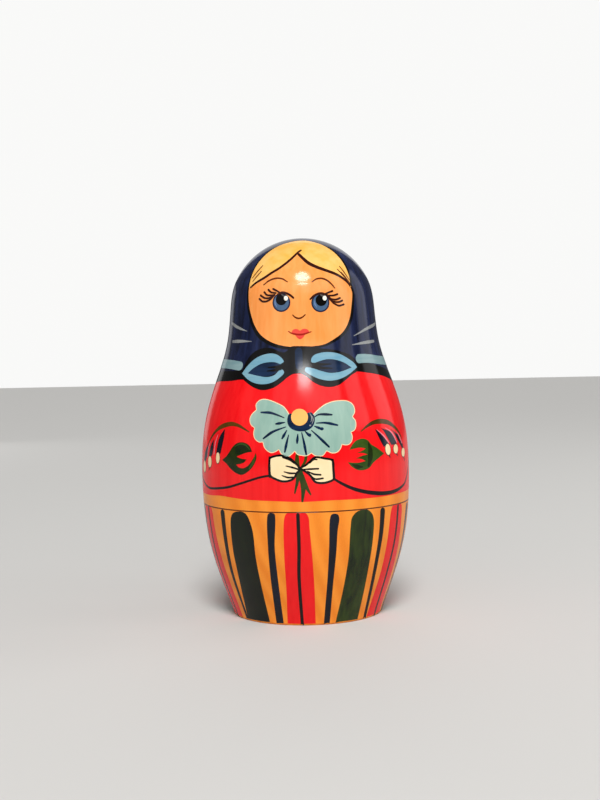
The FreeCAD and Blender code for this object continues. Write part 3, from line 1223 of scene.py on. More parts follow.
@dataclass
class Face:
    """The round face with its yellow hair, big eyes and small mouth."""

    rim: Line = (
        (302.5, 240.6), (318.5, 243.6), (329.4, 249.0), (338.7, 257.0), (345.4, 267.1), (349.2, 277.2),
        (350.1, 285.7), (352.2, 293.2), (351.7, 303.3), (350.1, 316.0), (347.1, 325.2), (342.1, 332.8),
        (334.5, 338.7), (324.4, 344.2), (311.8, 346.3), (300.0, 347.1), (289.9, 346.7), (278.1, 344.6),
        (268.0, 340.4), (260.4, 334.5), (254.9, 326.1), (251.6, 316.8), (249.5, 307.6), (248.6, 298.3),
        (249.0, 288.2), (251.6, 276.4), (256.2, 266.3), (263.8, 256.6), (273.9, 248.6), (286.5, 243.2))
    rim_widths: Widths = (0.35, 0.5, 0.95, 0.95, 1.2, 1.0, 0.6, 1.0, 1.35, 1.1, 0.65, 0.6, 0.45, 0.35)
    hair_left: Line = (
        (250.7, 287.4), (256.2, 282.7), (263.8, 278.1), (271.4, 273.0), (278.9, 268.4), (286.5, 262.9),
        (293.2, 257.0), (297.9, 252.4), (300.8, 250.3))
    hair_right: Line = (
        (298.7, 254.1), (302.5, 257.9), (308.4, 262.9), (316.0, 266.7), (325.2, 270.1), (334.5, 273.5),
        (342.1, 277.7), (348.0, 282.7), (351.3, 287.4))
    hair_left_widths: Widths = (0.6, 0.85, 0.85, 0.85, 0.7)
    hair_right_widths: Widths = (1.0, 1.25, 1.05, 0.9, 0.75)
    hair_dip: float = 5.0  # the rim dips further than this below the hair only where it goes by the chin
    strand_widths: Widths = (0.15, 0.28, 0.12)
    strands: Lines = (
        ((262.9, 265.5), (252.4, 278.1)), ((261.3, 271.4), (252.8, 281.5)), ((339.5, 266.3), (349.2, 279.8)),
        ((337.4, 269.3), (349.6, 283.1)), ((341.2, 272.2), (348.8, 281.5)))
    brow_widths: Widths = (0.18, 0.36, 0.42, 0.38, 0.18)
    brows: Lines = (
        ((263.7, 284.9), (269.1, 280.7), (275.5, 278.4), (281.9, 278.7), (287.4, 281.8)), ((334.8, 288.0),
        (331.6, 284.2), (327.2, 280.5), (322.1, 278.4), (316.3, 279.0), (312.1, 281.8)))
    eyes: Lines = (
        ((281.2, 302.5), (281.3, 299.4), (286.0, 298.2)), ((320.5, 302.7), (321.2, 300.2), (324.6, 298.1)))
    rim_size: Size = (2.96, 3.02)
    iris_size: Size = (2.50, 2.56)
    pupil_size: Size = (1.82, 1.86)
    light_size: Size = (0.66, 0.76)
    gleam_widths: Widths = (0.15, 0.4, 0.1)
    gleams: Lines = (
        ((275.4, 299.6), (275.2, 303.4), (277.0, 307.2)), ((314.8, 300.4), (314.8, 303.8), (316.8, 307.4)))
    glint_widths: Widths = (0.3, 0.6)
    glints: Lines = (((281.7, 294.4), (283.9, 296.0)), ((320.4, 294.8), (322.6, 295.8)))
    lid_widths: Widths = (0.32, 0.5, 0.52, 0.42)
    lids: Lines = (
        ((277.6, 294.3), (281.9, 292.4), (286.4, 293.2), (290.2, 295.2), (293.4, 297.8)), ((310.2, 299.2),
        (313.8, 295.8), (317.6, 293.9), (320.8, 293.3), (324.0, 293.9), (327.4, 295.6)))
    lash_root: Line = ((326.2, 294.2), (330.2, 299.0), (333.7, 303.4))
    lash_root_widths: Widths = (0.45, 0.7, 0.35)
    lash_widths: Widths = (0.48, 0.42, 0.32)
    lashes: Lines = (
        ((273.3, 289.0), (278.7, 291.9), (280.9, 293.8)), ((268.5, 289.7), (271.0, 292.2), (276.0, 293.0)),
        ((264.4, 292.2), (267.2, 295.1), (274.4, 295.0)), ((260.8, 295.4), (264.7, 298.0), (269.1, 298.0),
        (274.0, 295.4)), ((259.6, 298.9), (262.1, 301.2), (265.9, 301.5), (270.4, 299.3), (274.8, 294.6)),
        ((332.3, 291.0), (329.1, 292.2), (324.4, 294.2)), ((337.4, 294.1), (333.5, 295.4), (327.6, 295.6)),
        ((339.9, 298.0), (335.5, 299.6), (329.4, 298.6)), ((342.2, 300.5), (338.0, 302.1), (331.8, 301.2)),
        ((343.7, 304.4), (338.6, 305.6), (333.4, 303.1)))
    nose: Line = ((292.7, 315.0), (295.3, 317.3), (298.8, 318.4), (302.3, 317.2), (305.2, 314.7))
    nose_widths: Widths = (0.16, 0.36, 0.36, 0.16)
    lip_line: Line = (
        (288.3, 331.3), (291.5, 333.2), (295.9, 334.3), (299.7, 334.6), (304.2, 334.1), (308.0, 332.8),
        (311.2, 331.7))
    lip_line_widths: Widths = (0.1, 0.34, 0.42, 0.34, 0.1)
    upper_lip: Lines = (
        ((292.4, 330.4), (294.8, 329.0), (297.6, 329.2), (300.0, 330.8)), ((302.8, 328.9), (306.0, 328.8),
        (308.6, 330.4), (309.0, 332.2)), ((304.6, 333.9), (299.6, 334.4), (295.3, 333.9), (291.6, 332.6)))
    lower_lip: Line = ((294.8, 334.0), (299.6, 334.5), (305.0, 334.0), (303.2, 337.4), (300.1, 339.3), (297.0, 337.5))

    def hair(self, rim: np.ndarray, left: np.ndarray, right: np.ndarray) -> np.ndarray:
        """The outline of the hair, which fills the top of the face.

        Args:
            rim: the outline of the face.
            left, right: the hair's lower edges, up to the parting and down from it.

        Returns:
            The outline.
        """
        start = int(np.argmin(np.hypot(*(rim - right[-1]).T)))
        end = int(np.argmin(np.hypot(*(rim - left[0]).T)))
        over = np.roll(rim, -end, axis=0)[: (start - end) % len(rim) + 1]
        if over[:, 1].min() < left[0][1] - self.hair_dip:
            over = np.roll(rim, -start, axis=0)[: (end - start) % len(rim) + 1][::-1]
        # The left edge runs up to the parting's top, and the right one leaves just below it.
        return np.concatenate([over[::-1], left[1:], right[1:-1]])

    def motifs(self, maker: SheetMaker) -> list[Motif]:
        """Makes the face.

        Args:
            maker: the sheet maker.

        Returns:
            Its motifs.
        """
        rim = maker.outline(self.rim)
        left, right = smooth(maker.seen(self.hair_left)), smooth(maker.seen(self.hair_right))
        edges = [ribbon(left, self.hair_left_widths), ribbon(right, self.hair_right_widths)]
        lines = maker.strokes(self.strands, self.strand_widths) + maker.strokes(self.brows, self.brow_widths)
        lines.append(maker.stroke(self.nose, self.nose_widths))
        rims = [maker.dot(eye[0], *self.rim_size) for eye in self.eyes]
        irises = [maker.dot(eye[0], *self.iris_size) for eye in self.eyes]
        pupils = [maker.dot(eye[1], *self.pupil_size) for eye in self.eyes]
        lights = [maker.dot(eye[2], *self.light_size) for eye in self.eyes]
        gleams = maker.strokes(self.gleams, self.gleam_widths, 0.0)
        glints = maker.strokes(self.glints, self.glint_widths, 0.0)
        lashes = maker.strokes(self.lids, self.lid_widths) + maker.strokes(self.lashes, self.lash_widths)
        lashes.append(maker.stroke(self.lash_root, self.lash_root_widths))
        lips = [maker.outline(*self.upper_lip), maker.outline(self.lower_lip)]
        return filled(maker, [
            ("black_face_outline", Palette.black, Layer.TRIM, [grown(rim, self.rim_widths)], ALL_DOLLS),
            ("flesh_face", Palette.flesh, Layer.MOTIF, [rim], ALL_DOLLS),
            ("yellow_hair", Palette.hair, Layer.INNER, [self.hair(rim, left, right)], ALL_DOLLS),
            ("brown_hair_edges", Palette.dark_brown, Layer.DETAIL, edges, ALL_DOLLS),
            ("brown_face_lines", Palette.brown, Layer.DETAIL, lines, ALL_DOLLS),
            ("navy_iris_rims", Palette.rim_navy, Layer.INNER, rims, ALL_DOLLS),
            ("blue_irises", Palette.iris, Layer.DETAIL, irises, LARGEST_FOUR),
            ("pale_iris_gleams", Palette.gleam, Layer.LINE, gleams, LARGEST_TWO),
            ("coral_lips", Palette.coral, Layer.INNER, lips, ALL_DOLLS),
            ("red_lip_line", Palette.lip_line, Layer.DETAIL,
             [maker.stroke(self.lip_line, self.lip_line_widths)], ALL_DOLLS),
            ("black_pupils", Palette.black, Layer.LINE, pupils, ALL_DOLLS),
            ("brown_lids_and_lashes", Palette.dark_brown, Layer.LASH, lashes, LARGEST_FOUR),
            ("white_eye_lights", Palette.white, Layer.LIGHT, lights, LARGEST_FOUR),
            ("dim_eye_glints", Palette.dim_grey, Layer.LASH, glints, LARGEST_TWO)])


@dataclass
class Knot:
    """The scarf's knot: two pale blue loops round navy petals, on black."""

    surround: Line = (
        (242.0, 371.6), (248.0, 358.6), (255.5, 351.1), (264.2, 348.0), (272.6, 348.4), (279.6, 351.6),
        (284.6, 352.2), (288.4, 349.4), (291.0, 346.6), (300.0, 346.0), (312.0, 346.5), (321.4, 348.3),
        (330.5, 349.3), (342.0, 351.8), (352.0, 356.1), (356.3, 361.5), (357.9, 366.8), (357.2, 371.0),
        *KNOT_EDGE[::-1], (242.4, 377.8))
    left_loop: Lines = (
        ((283.7, 361.7), (280.2, 356.7), (273.4, 353.6), (264.2, 354.6), (255.5, 358.6), (248.1, 365.4),
        (242.1, 373.4)), ((248.1, 379.6), (255.5, 383.3), (264.2, 384.2), (272.8, 382.1), (280.2, 377.1),
        (284.0, 372.8), (282.7, 369.7), (279.6, 370.3), (274.1, 375.3), (266.6, 377.1), (258.0, 375.9),
        (247.6, 373.3)), ((253.0, 368.5), (260.4, 364.1), (267.9, 362.3), (275.3, 362.3), (280.2, 364.1)))
    right_loop: Lines = (
        ((311.6, 362.2), (311.2, 359.2), (313.6, 355.5), (319.8, 353.0), (328.5, 352.1), (338.4, 353.6),
        (347.1, 357.9), (354.5, 363.5), (357.0, 367.2)), ((348.3, 374.6), (339.6, 379.0), (329.7, 380.6),
        (319.8, 379.0), (311.2, 375.3), (305.0, 370.9), (306.0, 367.4), (312.4, 368.2), (321.1, 370.9),
        (329.7, 372.8), (339.6, 371.9), (351.6, 367.5)), ((344.6, 362.9), (335.9, 359.8), (327.3, 359.2),
        (319.8, 361.0), (314.9, 362.9)))
    left_petal: Lines = (
        ((255.5, 366.6), (265.4, 363.0), (275.3, 362.6), (282.7, 364.6)), ((279.0, 369.8), (272.8, 374.6),
        (265.4, 376.6), (256.0, 375.6), (247.9, 373.2)))
    right_petal: Lines = (
        ((320.4, 361.2), (327.3, 359.6), (336.0, 360.3), (344.4, 363.3), (351.3, 367.5)), ((339.6, 371.4),
        (329.7, 372.2), (321.0, 370.3), (315.4, 364.6)))
    tie: Line = ((298.6, 351.2), (298.8, 358.0), (299.2, 366.4))
    tie_widths: Widths = (2.3, 2.4, 2.2)
    streak_widths: Widths = (0.9, 0.7, 0.1)
    streaks: Lines = (
        ((283.4, 365.6), (277.0, 367.0), (268.0, 367.6)), ((282.0, 368.4), (275.0, 370.2), (267.0, 371.0)),
        ((313.8, 363.8), (322.0, 364.4), (331.0, 364.0)), ((313.8, 366.0), (322.0, 367.8), (332.0, 368.2)))

    def motifs(self, maker: SheetMaker) -> list[Motif]:
        """Makes the knot.

        Args:
            maker: the sheet maker.

        Returns:
            Its motifs.
        """
        loops = [maker.outline(*self.left_loop), maker.outline(*self.right_loop)]
        petals = [maker.outline(*self.left_petal), maker.outline(*self.right_petal),
                  maker.stroke(self.tie, self.tie_widths, 0.0)]
        streaks = maker.strokes(self.streaks, self.streak_widths)
        return filled(maker, [
            ("black_knot", Palette.black, Layer.MOTIF, [maker.outline(self.surround)], ALL_DOLLS),
            ("pale_blue_knot_loops", Palette.pale_blue, Layer.DETAIL, loops, ALL_DOLLS),
            ("navy_knot_petals", Palette.bright_navy, Layer.INNER, petals, LARGEST_FOUR),
            ("black_knot_streaks", Palette.black, Layer.DETAIL, streaks, LARGEST_THREE)])


@dataclass
class Flower:
    """The pale teal flower, its yellow ball and navy rays, and the stems below it."""

    petals: Lines = (
        ((284.1, 406.7), (276.4, 402.5), (269.5, 399.8), (263.4, 398.9), (258.8, 400.5), (255.7, 404.4),
        (256.1, 409.7)), ((251.5, 414.3), (249.6, 418.9), (250.4, 424.3), (254.2, 428.1)), ((253.3, 433.5),
        (254.6, 438.8), (258.8, 442.3), (262.6, 442.3)), ((264.0, 447.3), (267.2, 451.1), (271.4, 453.0),
        (275.6, 451.9), (278.7, 449.9)), ((281.0, 453.9), (284.8, 456.8), (288.0, 457.0), (291.7, 454.6),
        (294.8, 451.5)), ((297.1, 454.6), (301.7, 455.8), (306.2, 456.2), (311.5, 453.4)), ((315.3, 456.0),
        (318.4, 456.4), (323.0, 455.7), (326.8, 451.1)), ((332.2, 453.3), (337.5, 452.3), (340.9, 448.4),
        (342.1, 444.6)), ((346.0, 445.3), (349.4, 444.4), (352.0, 441.1), (352.6, 435.8), (351.3, 432.3)),
        ((354.9, 430.0), (356.3, 425.6), (355.7, 420.5), (352.8, 416.6)), ((354.9, 412.4), (354.7, 407.8),
        (352.1, 403.2), (346.7, 400.5), (339.8, 400.2), (332.2, 401.3), (324.5, 404.4), (317.6, 409.7),
        (312.6, 414.7)), ((301.2, 416.0), (289.8, 414.7)))
    edge_width: float = 0.24
    moon: Line = (
        (289.6, 413.6), (287.4, 418.0), (287.5, 423.0), (289.6, 427.2), (294.0, 430.1), (299.8, 431.4),
        (305.4, 430.9), (310.0, 429.0), (313.4, 425.4), (314.8, 420.5), (314.0, 415.4), (310.8, 412.2),
        (300.0, 416.0))
    moon_line_widths: Widths = (0.08, 0.3, 0.1)
    moon_lines: Lines = (
        ((309.4, 412.6), (311.8, 417.4), (310.8, 422.2)), ((312.6, 416.0), (313.2, 420.2), (311.8, 424.4)))
    moon_spark: Pixel = (310.2, 425.4)
    moon_spark_size: Size = (0.3, 0.26)
    ball: Pixel = (299.5, 417.2)
    ball_size: Size = (2.62, 2.66)
    ray_widths: Widths = (0.36, 0.7, 0.44, 0.12)
    rays: Lines = (
        ((261.1, 412.4), (270.3, 412.8), (278.7, 415.5), (284.1, 417.8)), ((276.0, 423.9), (284.8, 422.4)),
        ((263.4, 438.5), (272.6, 431.9), (285.6, 427.0)), ((282.1, 438.5), (286.7, 430.4)), ((284.8, 451.9),
        (286.7, 442.7), (288.6, 435.0)), ((297.1, 443.0), (297.8, 434.2)), ((306.3, 454.5), (304.0, 442.7),
        (301.7, 432.7)), ((310.0, 436.2), (305.0, 431.2)), ((329.1, 446.9), (319.9, 438.1), (311.5, 430.4)),
        ((321.4, 428.9), (314.5, 426.2)), ((337.5, 425.1), (325.3, 422.8), (316.1, 423.1)), ((331.8, 414.7),
        (325.3, 414.3), (318.4, 414.7), (314.5, 417.0)))
    drop_size: Size = (0.62, 0.5)
    drops: Line = ((309.4, 435.0), (321.8, 428.8))
    stems: tuple[Brushed, ...] = (
        (((297.4, 452.0), (297.0, 460.0), (298.4, 468.0)), (0.6, 1.2, 0.9)), (((306.2, 455.0), (305.2, 461.0),
        (301.6, 467.0)), (0.8, 0.7, 0.4)), (((298.6, 468.5), (297.6, 480.0), (294.8, 493.2)), (1.3, 0.9, 0.3)),
        (((299.8, 472.0), (303.2, 485.5), (302.4, 501.2)), (1.6, 1.5, 0.5)), (((301.4, 475.0), (305.4, 485.0),
        (310.7, 494.7)), (1.3, 1.2, 0.3)))

    def motifs(self, maker: SheetMaker) -> list[Motif]:
        """Makes the flower.

        Args:
            maker: the sheet maker.

        Returns:
            Its motifs.
        """
        petals = maker.outline(*self.petals)
        inside = grown(petals, (-self.edge_width, -self.edge_width))
        rays = [maker.outline(self.moon)] + maker.strokes(self.rays, self.ray_widths)
        rays += [maker.dot(drop, *self.drop_size) for drop in self.drops]
        stems = [maker.stroke(line, widths) for line, widths in self.stems]
        ball = maker.dot(self.ball, *self.ball_size)
        sparks = maker.strokes(self.moon_lines, self.moon_line_widths, 0.0)
        sparks.append(maker.dot(self.moon_spark, *self.moon_spark_size))
        return filled(maker, [
            ("green_stems", Palette.stem, Layer.SCARF, stems, ALL_DOLLS),
            ("cream_flower_edge", Palette.cream, Layer.TRIM, [petals], ALL_DOLLS),
            ("pale_teal_flower", Palette.teal, Layer.MOTIF, [inside], ALL_DOLLS),
            ("navy_flower_rays", Palette.bright_navy, Layer.INNER, rays, LARGEST_FOUR),
            ("pale_flower_sparks", Palette.grey, Layer.DETAIL, sparks, LARGEST_TWO),
            ("yellow_flower_ball", Palette.ball, Layer.DETAIL, [ball], ALL_DOLLS)])


@dataclass
class Hands:
    """The cream hands on the stems, and the dark lines of the sleeves."""

    left: Line = (
        (269.9, 458.6), (274.6, 456.4), (281.2, 455.7), (289.4, 458.3), (294.8, 462.9), (298.6, 467.2),
        (298.9, 470.6), (296.3, 473.3), (295.2, 476.0), (292.6, 479.0), (287.9, 480.9), (282.5, 481.2),
        (276.4, 479.3), (270.6, 475.6), (269.7, 467.0))
    right: Line = (
        (300.8, 468.2), (305.6, 465.4), (310.0, 461.8), (315.0, 457.6), (325.3, 458.7), (332.4, 460.6),
        (333.4, 469.5), (333.6, 478.9), (327.8, 481.9), (321.4, 482.9), (315.7, 481.9), (313.0, 479.0),
        (310.7, 475.6), (305.6, 471.4))
    outline_width: float = 0.30
    finger_widths: Widths = (0.16, 0.42, 0.36)
    fingers: Lines = (
        ((286.0, 466.0), (292.8, 467.6), (298.4, 469.4)), ((284.1, 471.8), (289.6, 473.2), (294.8, 473.3)),
        ((282.1, 475.6), (287.9, 477.5), (293.2, 477.3)), ((301.5, 469.5), (310.0, 469.1), (318.4, 468.7)),
        ((307.4, 471.2), (313.8, 474.1), (320.7, 474.8)), ((311.5, 476.4), (315.3, 479.0), (323.0, 478.3)))
    thumb_widths: Widths = (0.7, 0.5, 0.2)
    thumbs: Lines = (
        ((283.4, 457.0), (289.4, 459.6), (294.4, 463.4)), ((309.6, 462.2), (313.6, 459.4), (317.0, 459.6)))
    cuff_widths: Widths = (0.5, 0.62, 0.66)
    cuffs: Lines = (
        ((269.6, 457.4), (269.2, 467.0), (269.9, 476.6)), ((332.7, 459.8), (333.4, 469.0), (334.1, 479.0)))
    sleeves: tuple[tuple[Line, Widths, Behind], ...] = (
        (((269.4, 475.6), (259.6, 477.5), (249.6, 480.6), (238.9, 484.0), (228.2, 487.1), (219.0, 488.2),
        (208.6, 487.4)), (0.5, 0.55, 0.6, 0.6, 0.5, 0.4, 0.25, 0.05), ((-76, 45.4), (-86, 48.2), (-94, 53.5),
        (-98, 59.5))), (((333.4, 478.6), (342.1, 483.6), (352.1, 488.2), (361.3, 490.9), (372.7, 492.8),
        (384.2, 493.2), (394.2, 491.3), (401.6, 486.9), (405.4, 481.6)),
        (0.5, 0.95, 1.15, 1.0, 0.6, 0.45, 0.25, 0.05), ((84, 52.0), (92, 57.0), (97, 63.0))))

    def motifs(self, maker: SheetMaker) -> list[Motif]:
        """Makes the hands and sleeves.

        Args:
            maker: the sheet maker.

        Returns:
            Their motifs.
        """
        hands = [maker.outline(self.left), maker.outline(self.right)]
        outer = self.outline_width + STROKE_SPREAD / 2
        black = [grown(hand, (outer, outer)) for hand in hands]
        cream = [grown(hand, (-self.outline_width, -self.outline_width)) for hand in hands]
        sleeves = [maker.stroke(line, widths, behind=behind) for line, widths, behind in self.sleeves]
        lines = maker.strokes(self.fingers, self.finger_widths) + maker.strokes(self.thumbs, self.thumb_widths)
        lines += maker.strokes(self.cuffs, self.cuff_widths)
        return filled(maker, [
            ("black_sleeve_lines", Palette.black, Layer.SCARF, sleeves, ALL_DOLLS),
            ("black_hand_outlines", Palette.black, Layer.MOTIF, black, ALL_DOLLS),
            ("cream_hands", Palette.cream, Layer.INNER, cream, ALL_DOLLS),
            ("black_finger_lines", Palette.black, Layer.DETAIL, lines, LARGEST_THREE)])


@dataclass
class Sprigs:
    """The leaves at both elbows, the olive arcs over them and the buds that hang there, with painted highlights on
    the buds.
    """

    left_leaf: Lines = (
        ((226.6, 455.7), (229.7, 451.1), (232.8, 446.5), (237.3, 443.0), (242.7, 442.3), (248.1, 444.6),
        (250.6, 448.0), (251.9, 451.9)), ((247.6, 452.4), (242.0, 454.2), (236.4, 456.6)), ((240.8, 458.6),
        (246.4, 459.4)), ((244.2, 462.2), (240.6, 463.8), (236.0, 464.6)), ((238.6, 467.4), (242.8, 468.2),
        (247.2, 466.2), (251.2, 461.6), (254.2, 456.4), (255.6, 452.8)), ((256.4, 457.2), (254.6, 463.2),
        (250.6, 469.2), (246.0, 473.0), (241.4, 474.9), (235.6, 473.0), (230.0, 468.2), (226.0, 463.4),
        (222.0, 459.9)))
    right_leaf: Lines = (
        ((377.3, 448.0), (371.2, 444.2), (368.1, 440.4), (362.8, 438.6), (356.7, 440.4), (352.8, 444.2),
        (349.4, 450.0)), ((354.4, 448.6), (360.0, 447.6), (365.9, 448.4)), ((362.6, 450.6), (357.4, 452.8)),
        ((363.4, 453.0), (367.8, 454.4)), ((362.4, 455.8), (356.2, 458.4)), ((361.6, 459.0), (365.8, 461.0)),
        ((358.0, 462.8), (348.0, 462.4)), ((352.1, 466.8), (358.2, 470.0), (364.3, 470.0), (369.7, 467.5),
        (373.5, 462.6), (378.9, 458.0), (384.2, 453.4)))
    arcs: tuple[Brushed, ...] = (
        (((248.8, 431.9), (243.5, 428.5), (238.9, 425.8), (232.0, 423.9), (225.1, 425.1), (219.0, 428.1),
        (214.4, 432.7), (210.5, 438.8), (208.3, 444.2)), (0.15, 0.8, 1.25, 1.3, 0.9, 0.6, 0.2)), (((361.3, 431.2),
        (366.6, 426.6), (372.7, 422.8), (380.4, 421.2), (388.1, 422.4), (394.2, 426.6), (398.8, 431.9),
        (401.8, 438.1)), (0.15, 0.9, 1.4, 1.4, 1.0, 0.7, 0.2)))
    petals: tuple[Lines, ...] = (
        (((219.6, 436.8), (217.4, 444.8), (216.1, 452.4)), ((218.2, 454.2), (220.4, 453.2)), ((221.9, 446.4),
        (223.9, 436.8), (224.9, 428.7))), (((211.0, 444.8), (209.3, 452.0), (208.7, 456.0)), ((210.4, 456.6),
        (211.9, 455.4)), ((213.2, 448.6), (213.7, 439.5))), (((205.6, 450.2), (204.0, 459.4)), ((205.6, 461.8),),
        ((207.2, 454.4), (208.4, 443.4))), (((378.2, 435.7), (381.4, 442.1), (384.1, 447.0)), ((386.2, 445.0),
        (388.7, 443.7)), ((385.9, 439.8), (381.8, 433.6), (375.2, 429.2))), (((384.1, 431.4), (387.8, 437.9),
        (391.6, 444.8)), ((394.2, 444.4), (396.6, 443.0)), ((394.2, 437.9), (390.8, 432.3), (381.2, 428.0))),
        (((393.8, 432.5), (398.0, 440.0), (401.8, 447.5)), ((403.2, 447.4),), ((402.8, 444.2), (400.4, 437.7),
        (390.5, 428.7))))
    tips: tuple[tuple[Pixel, float, float, float], ...] = (  # middle, two half axes and lean
        ((217.7, 457.9), 1.05, 1.75, -6.0), ((209.7, 461.7), 1.35, 1.8, -6.0), ((204.6, 466.2), 1.5, 1.9, 0.0),
        ((388.1, 449.4), 1.3, 1.8, 14.0), ((395.9, 448.8), 1.45, 1.5, 16.0), ((403.3, 452.2), 1.5, 1.45, 14.0))
    tip_edge: float = 0.2
    # Thin pink strokes on the buds' petals are painted highlights of the lacquer's gloss.
    gloss_widths: Widths = (0.15, 0.5, 0.45)
    gloss: Lines = (
        ((376.8, 429.6), (383.2, 435.3), (388.8, 442.5)), ((385.2, 427.8), (391.9, 432.8), (396.9, 442.3)),
        ((396.6, 431.6), (399.2, 436.3), (401.9, 442.8)), ((210.4, 441.6), (208.1, 450.2), (207.4, 457.1)),
        ((218.0, 434.6), (215.3, 443.2), (213.9, 453.9)))
    left_strokes: tuple[Brushed, ...] = (
        (((249.2, 468.8), (252.8, 462.6), (255.4, 455.4)), (0.4, 0.9, 0.2)), (((234.6, 446.6), (239.6, 444.0),
        (245.4, 445.0), (249.6, 449.6)), (0.2, 0.5, 0.5, 0.2)))
    right_strokes: tuple[Brushed, ...] = (
        (((368.6, 442.4), (370.4, 450.0), (370.4, 458.0), (368.6, 466.0)), (0.5, 1.7, 1.9, 0.7)), (((352.6, 464.6),
        (357.4, 466.8), (362.6, 467.0)), (0.4, 1.5, 0.4)))
    tail_widths: Widths = (0.4, 0.1)
    tails: Lines = (
        ((389.0, 454.6), (390.4, 457.4)), ((396.6, 453.2), (397.8, 455.6)), ((404.0, 457.0), (404.6, 460.5)),
        ((209.2, 467.0), (208.8, 470.2)))

    def motifs(self, maker: SheetMaker) -> list[Motif]:
        """Makes the leaves, arcs and buds.

        Args:
            maker: the sheet maker.

        Returns:
            Their motifs.
        """
        arcs = [maker.stroke(line, widths) for line, widths in self.arcs]
        petals = [maker.outline(*petal) for petal in self.petals] + maker.strokes(self.tails, self.tail_widths)
        petals += [maker.dot(middle, wide + self.tip_edge, high + self.tip_edge, lean)
                   for middle, wide, high, lean in self.tips]
        tips = [maker.dot(*tip) for tip in self.tips]
        gloss = maker.strokes(self.gloss, self.gloss_widths, 0.0)
        light = [maker.stroke(line, widths, 0.0) for line, widths in self.left_strokes]
        dark = [maker.stroke(line, widths, 0.0) for line, widths in self.right_strokes]
        return filled(maker, [
            ("olive_arcs", Palette.olive, Layer.SCARF, arcs, LARGEST_FOUR),
            ("dark_left_leaf", Palette.dark_leaf, Layer.SCARF, [maker.outline(*self.left_leaf)], LARGEST_FOUR),
            ("green_right_leaf", Palette.leaf, Layer.SCARF, [maker.outline(*self.right_leaf)], LARGEST_FOUR),
            ("green_left_leaf_strokes", Palette.leaf, Layer.TRIM, light, LARGEST_TWO),
            ("dark_right_leaf_strokes", Palette.dark_leaf, Layer.TRIM, dark, LARGEST_TWO),
            ("navy_bud_petals", Palette.dark_navy, Layer.TRIM, petals, LARGEST_THREE),
            ("painted_bud_highlights", Palette.rose, Layer.INNER, gloss, LARGEST_TWO),
            ("cream_bud_tips", Palette.cream, Layer.MOTIF, tips, LARGEST_FOUR)])


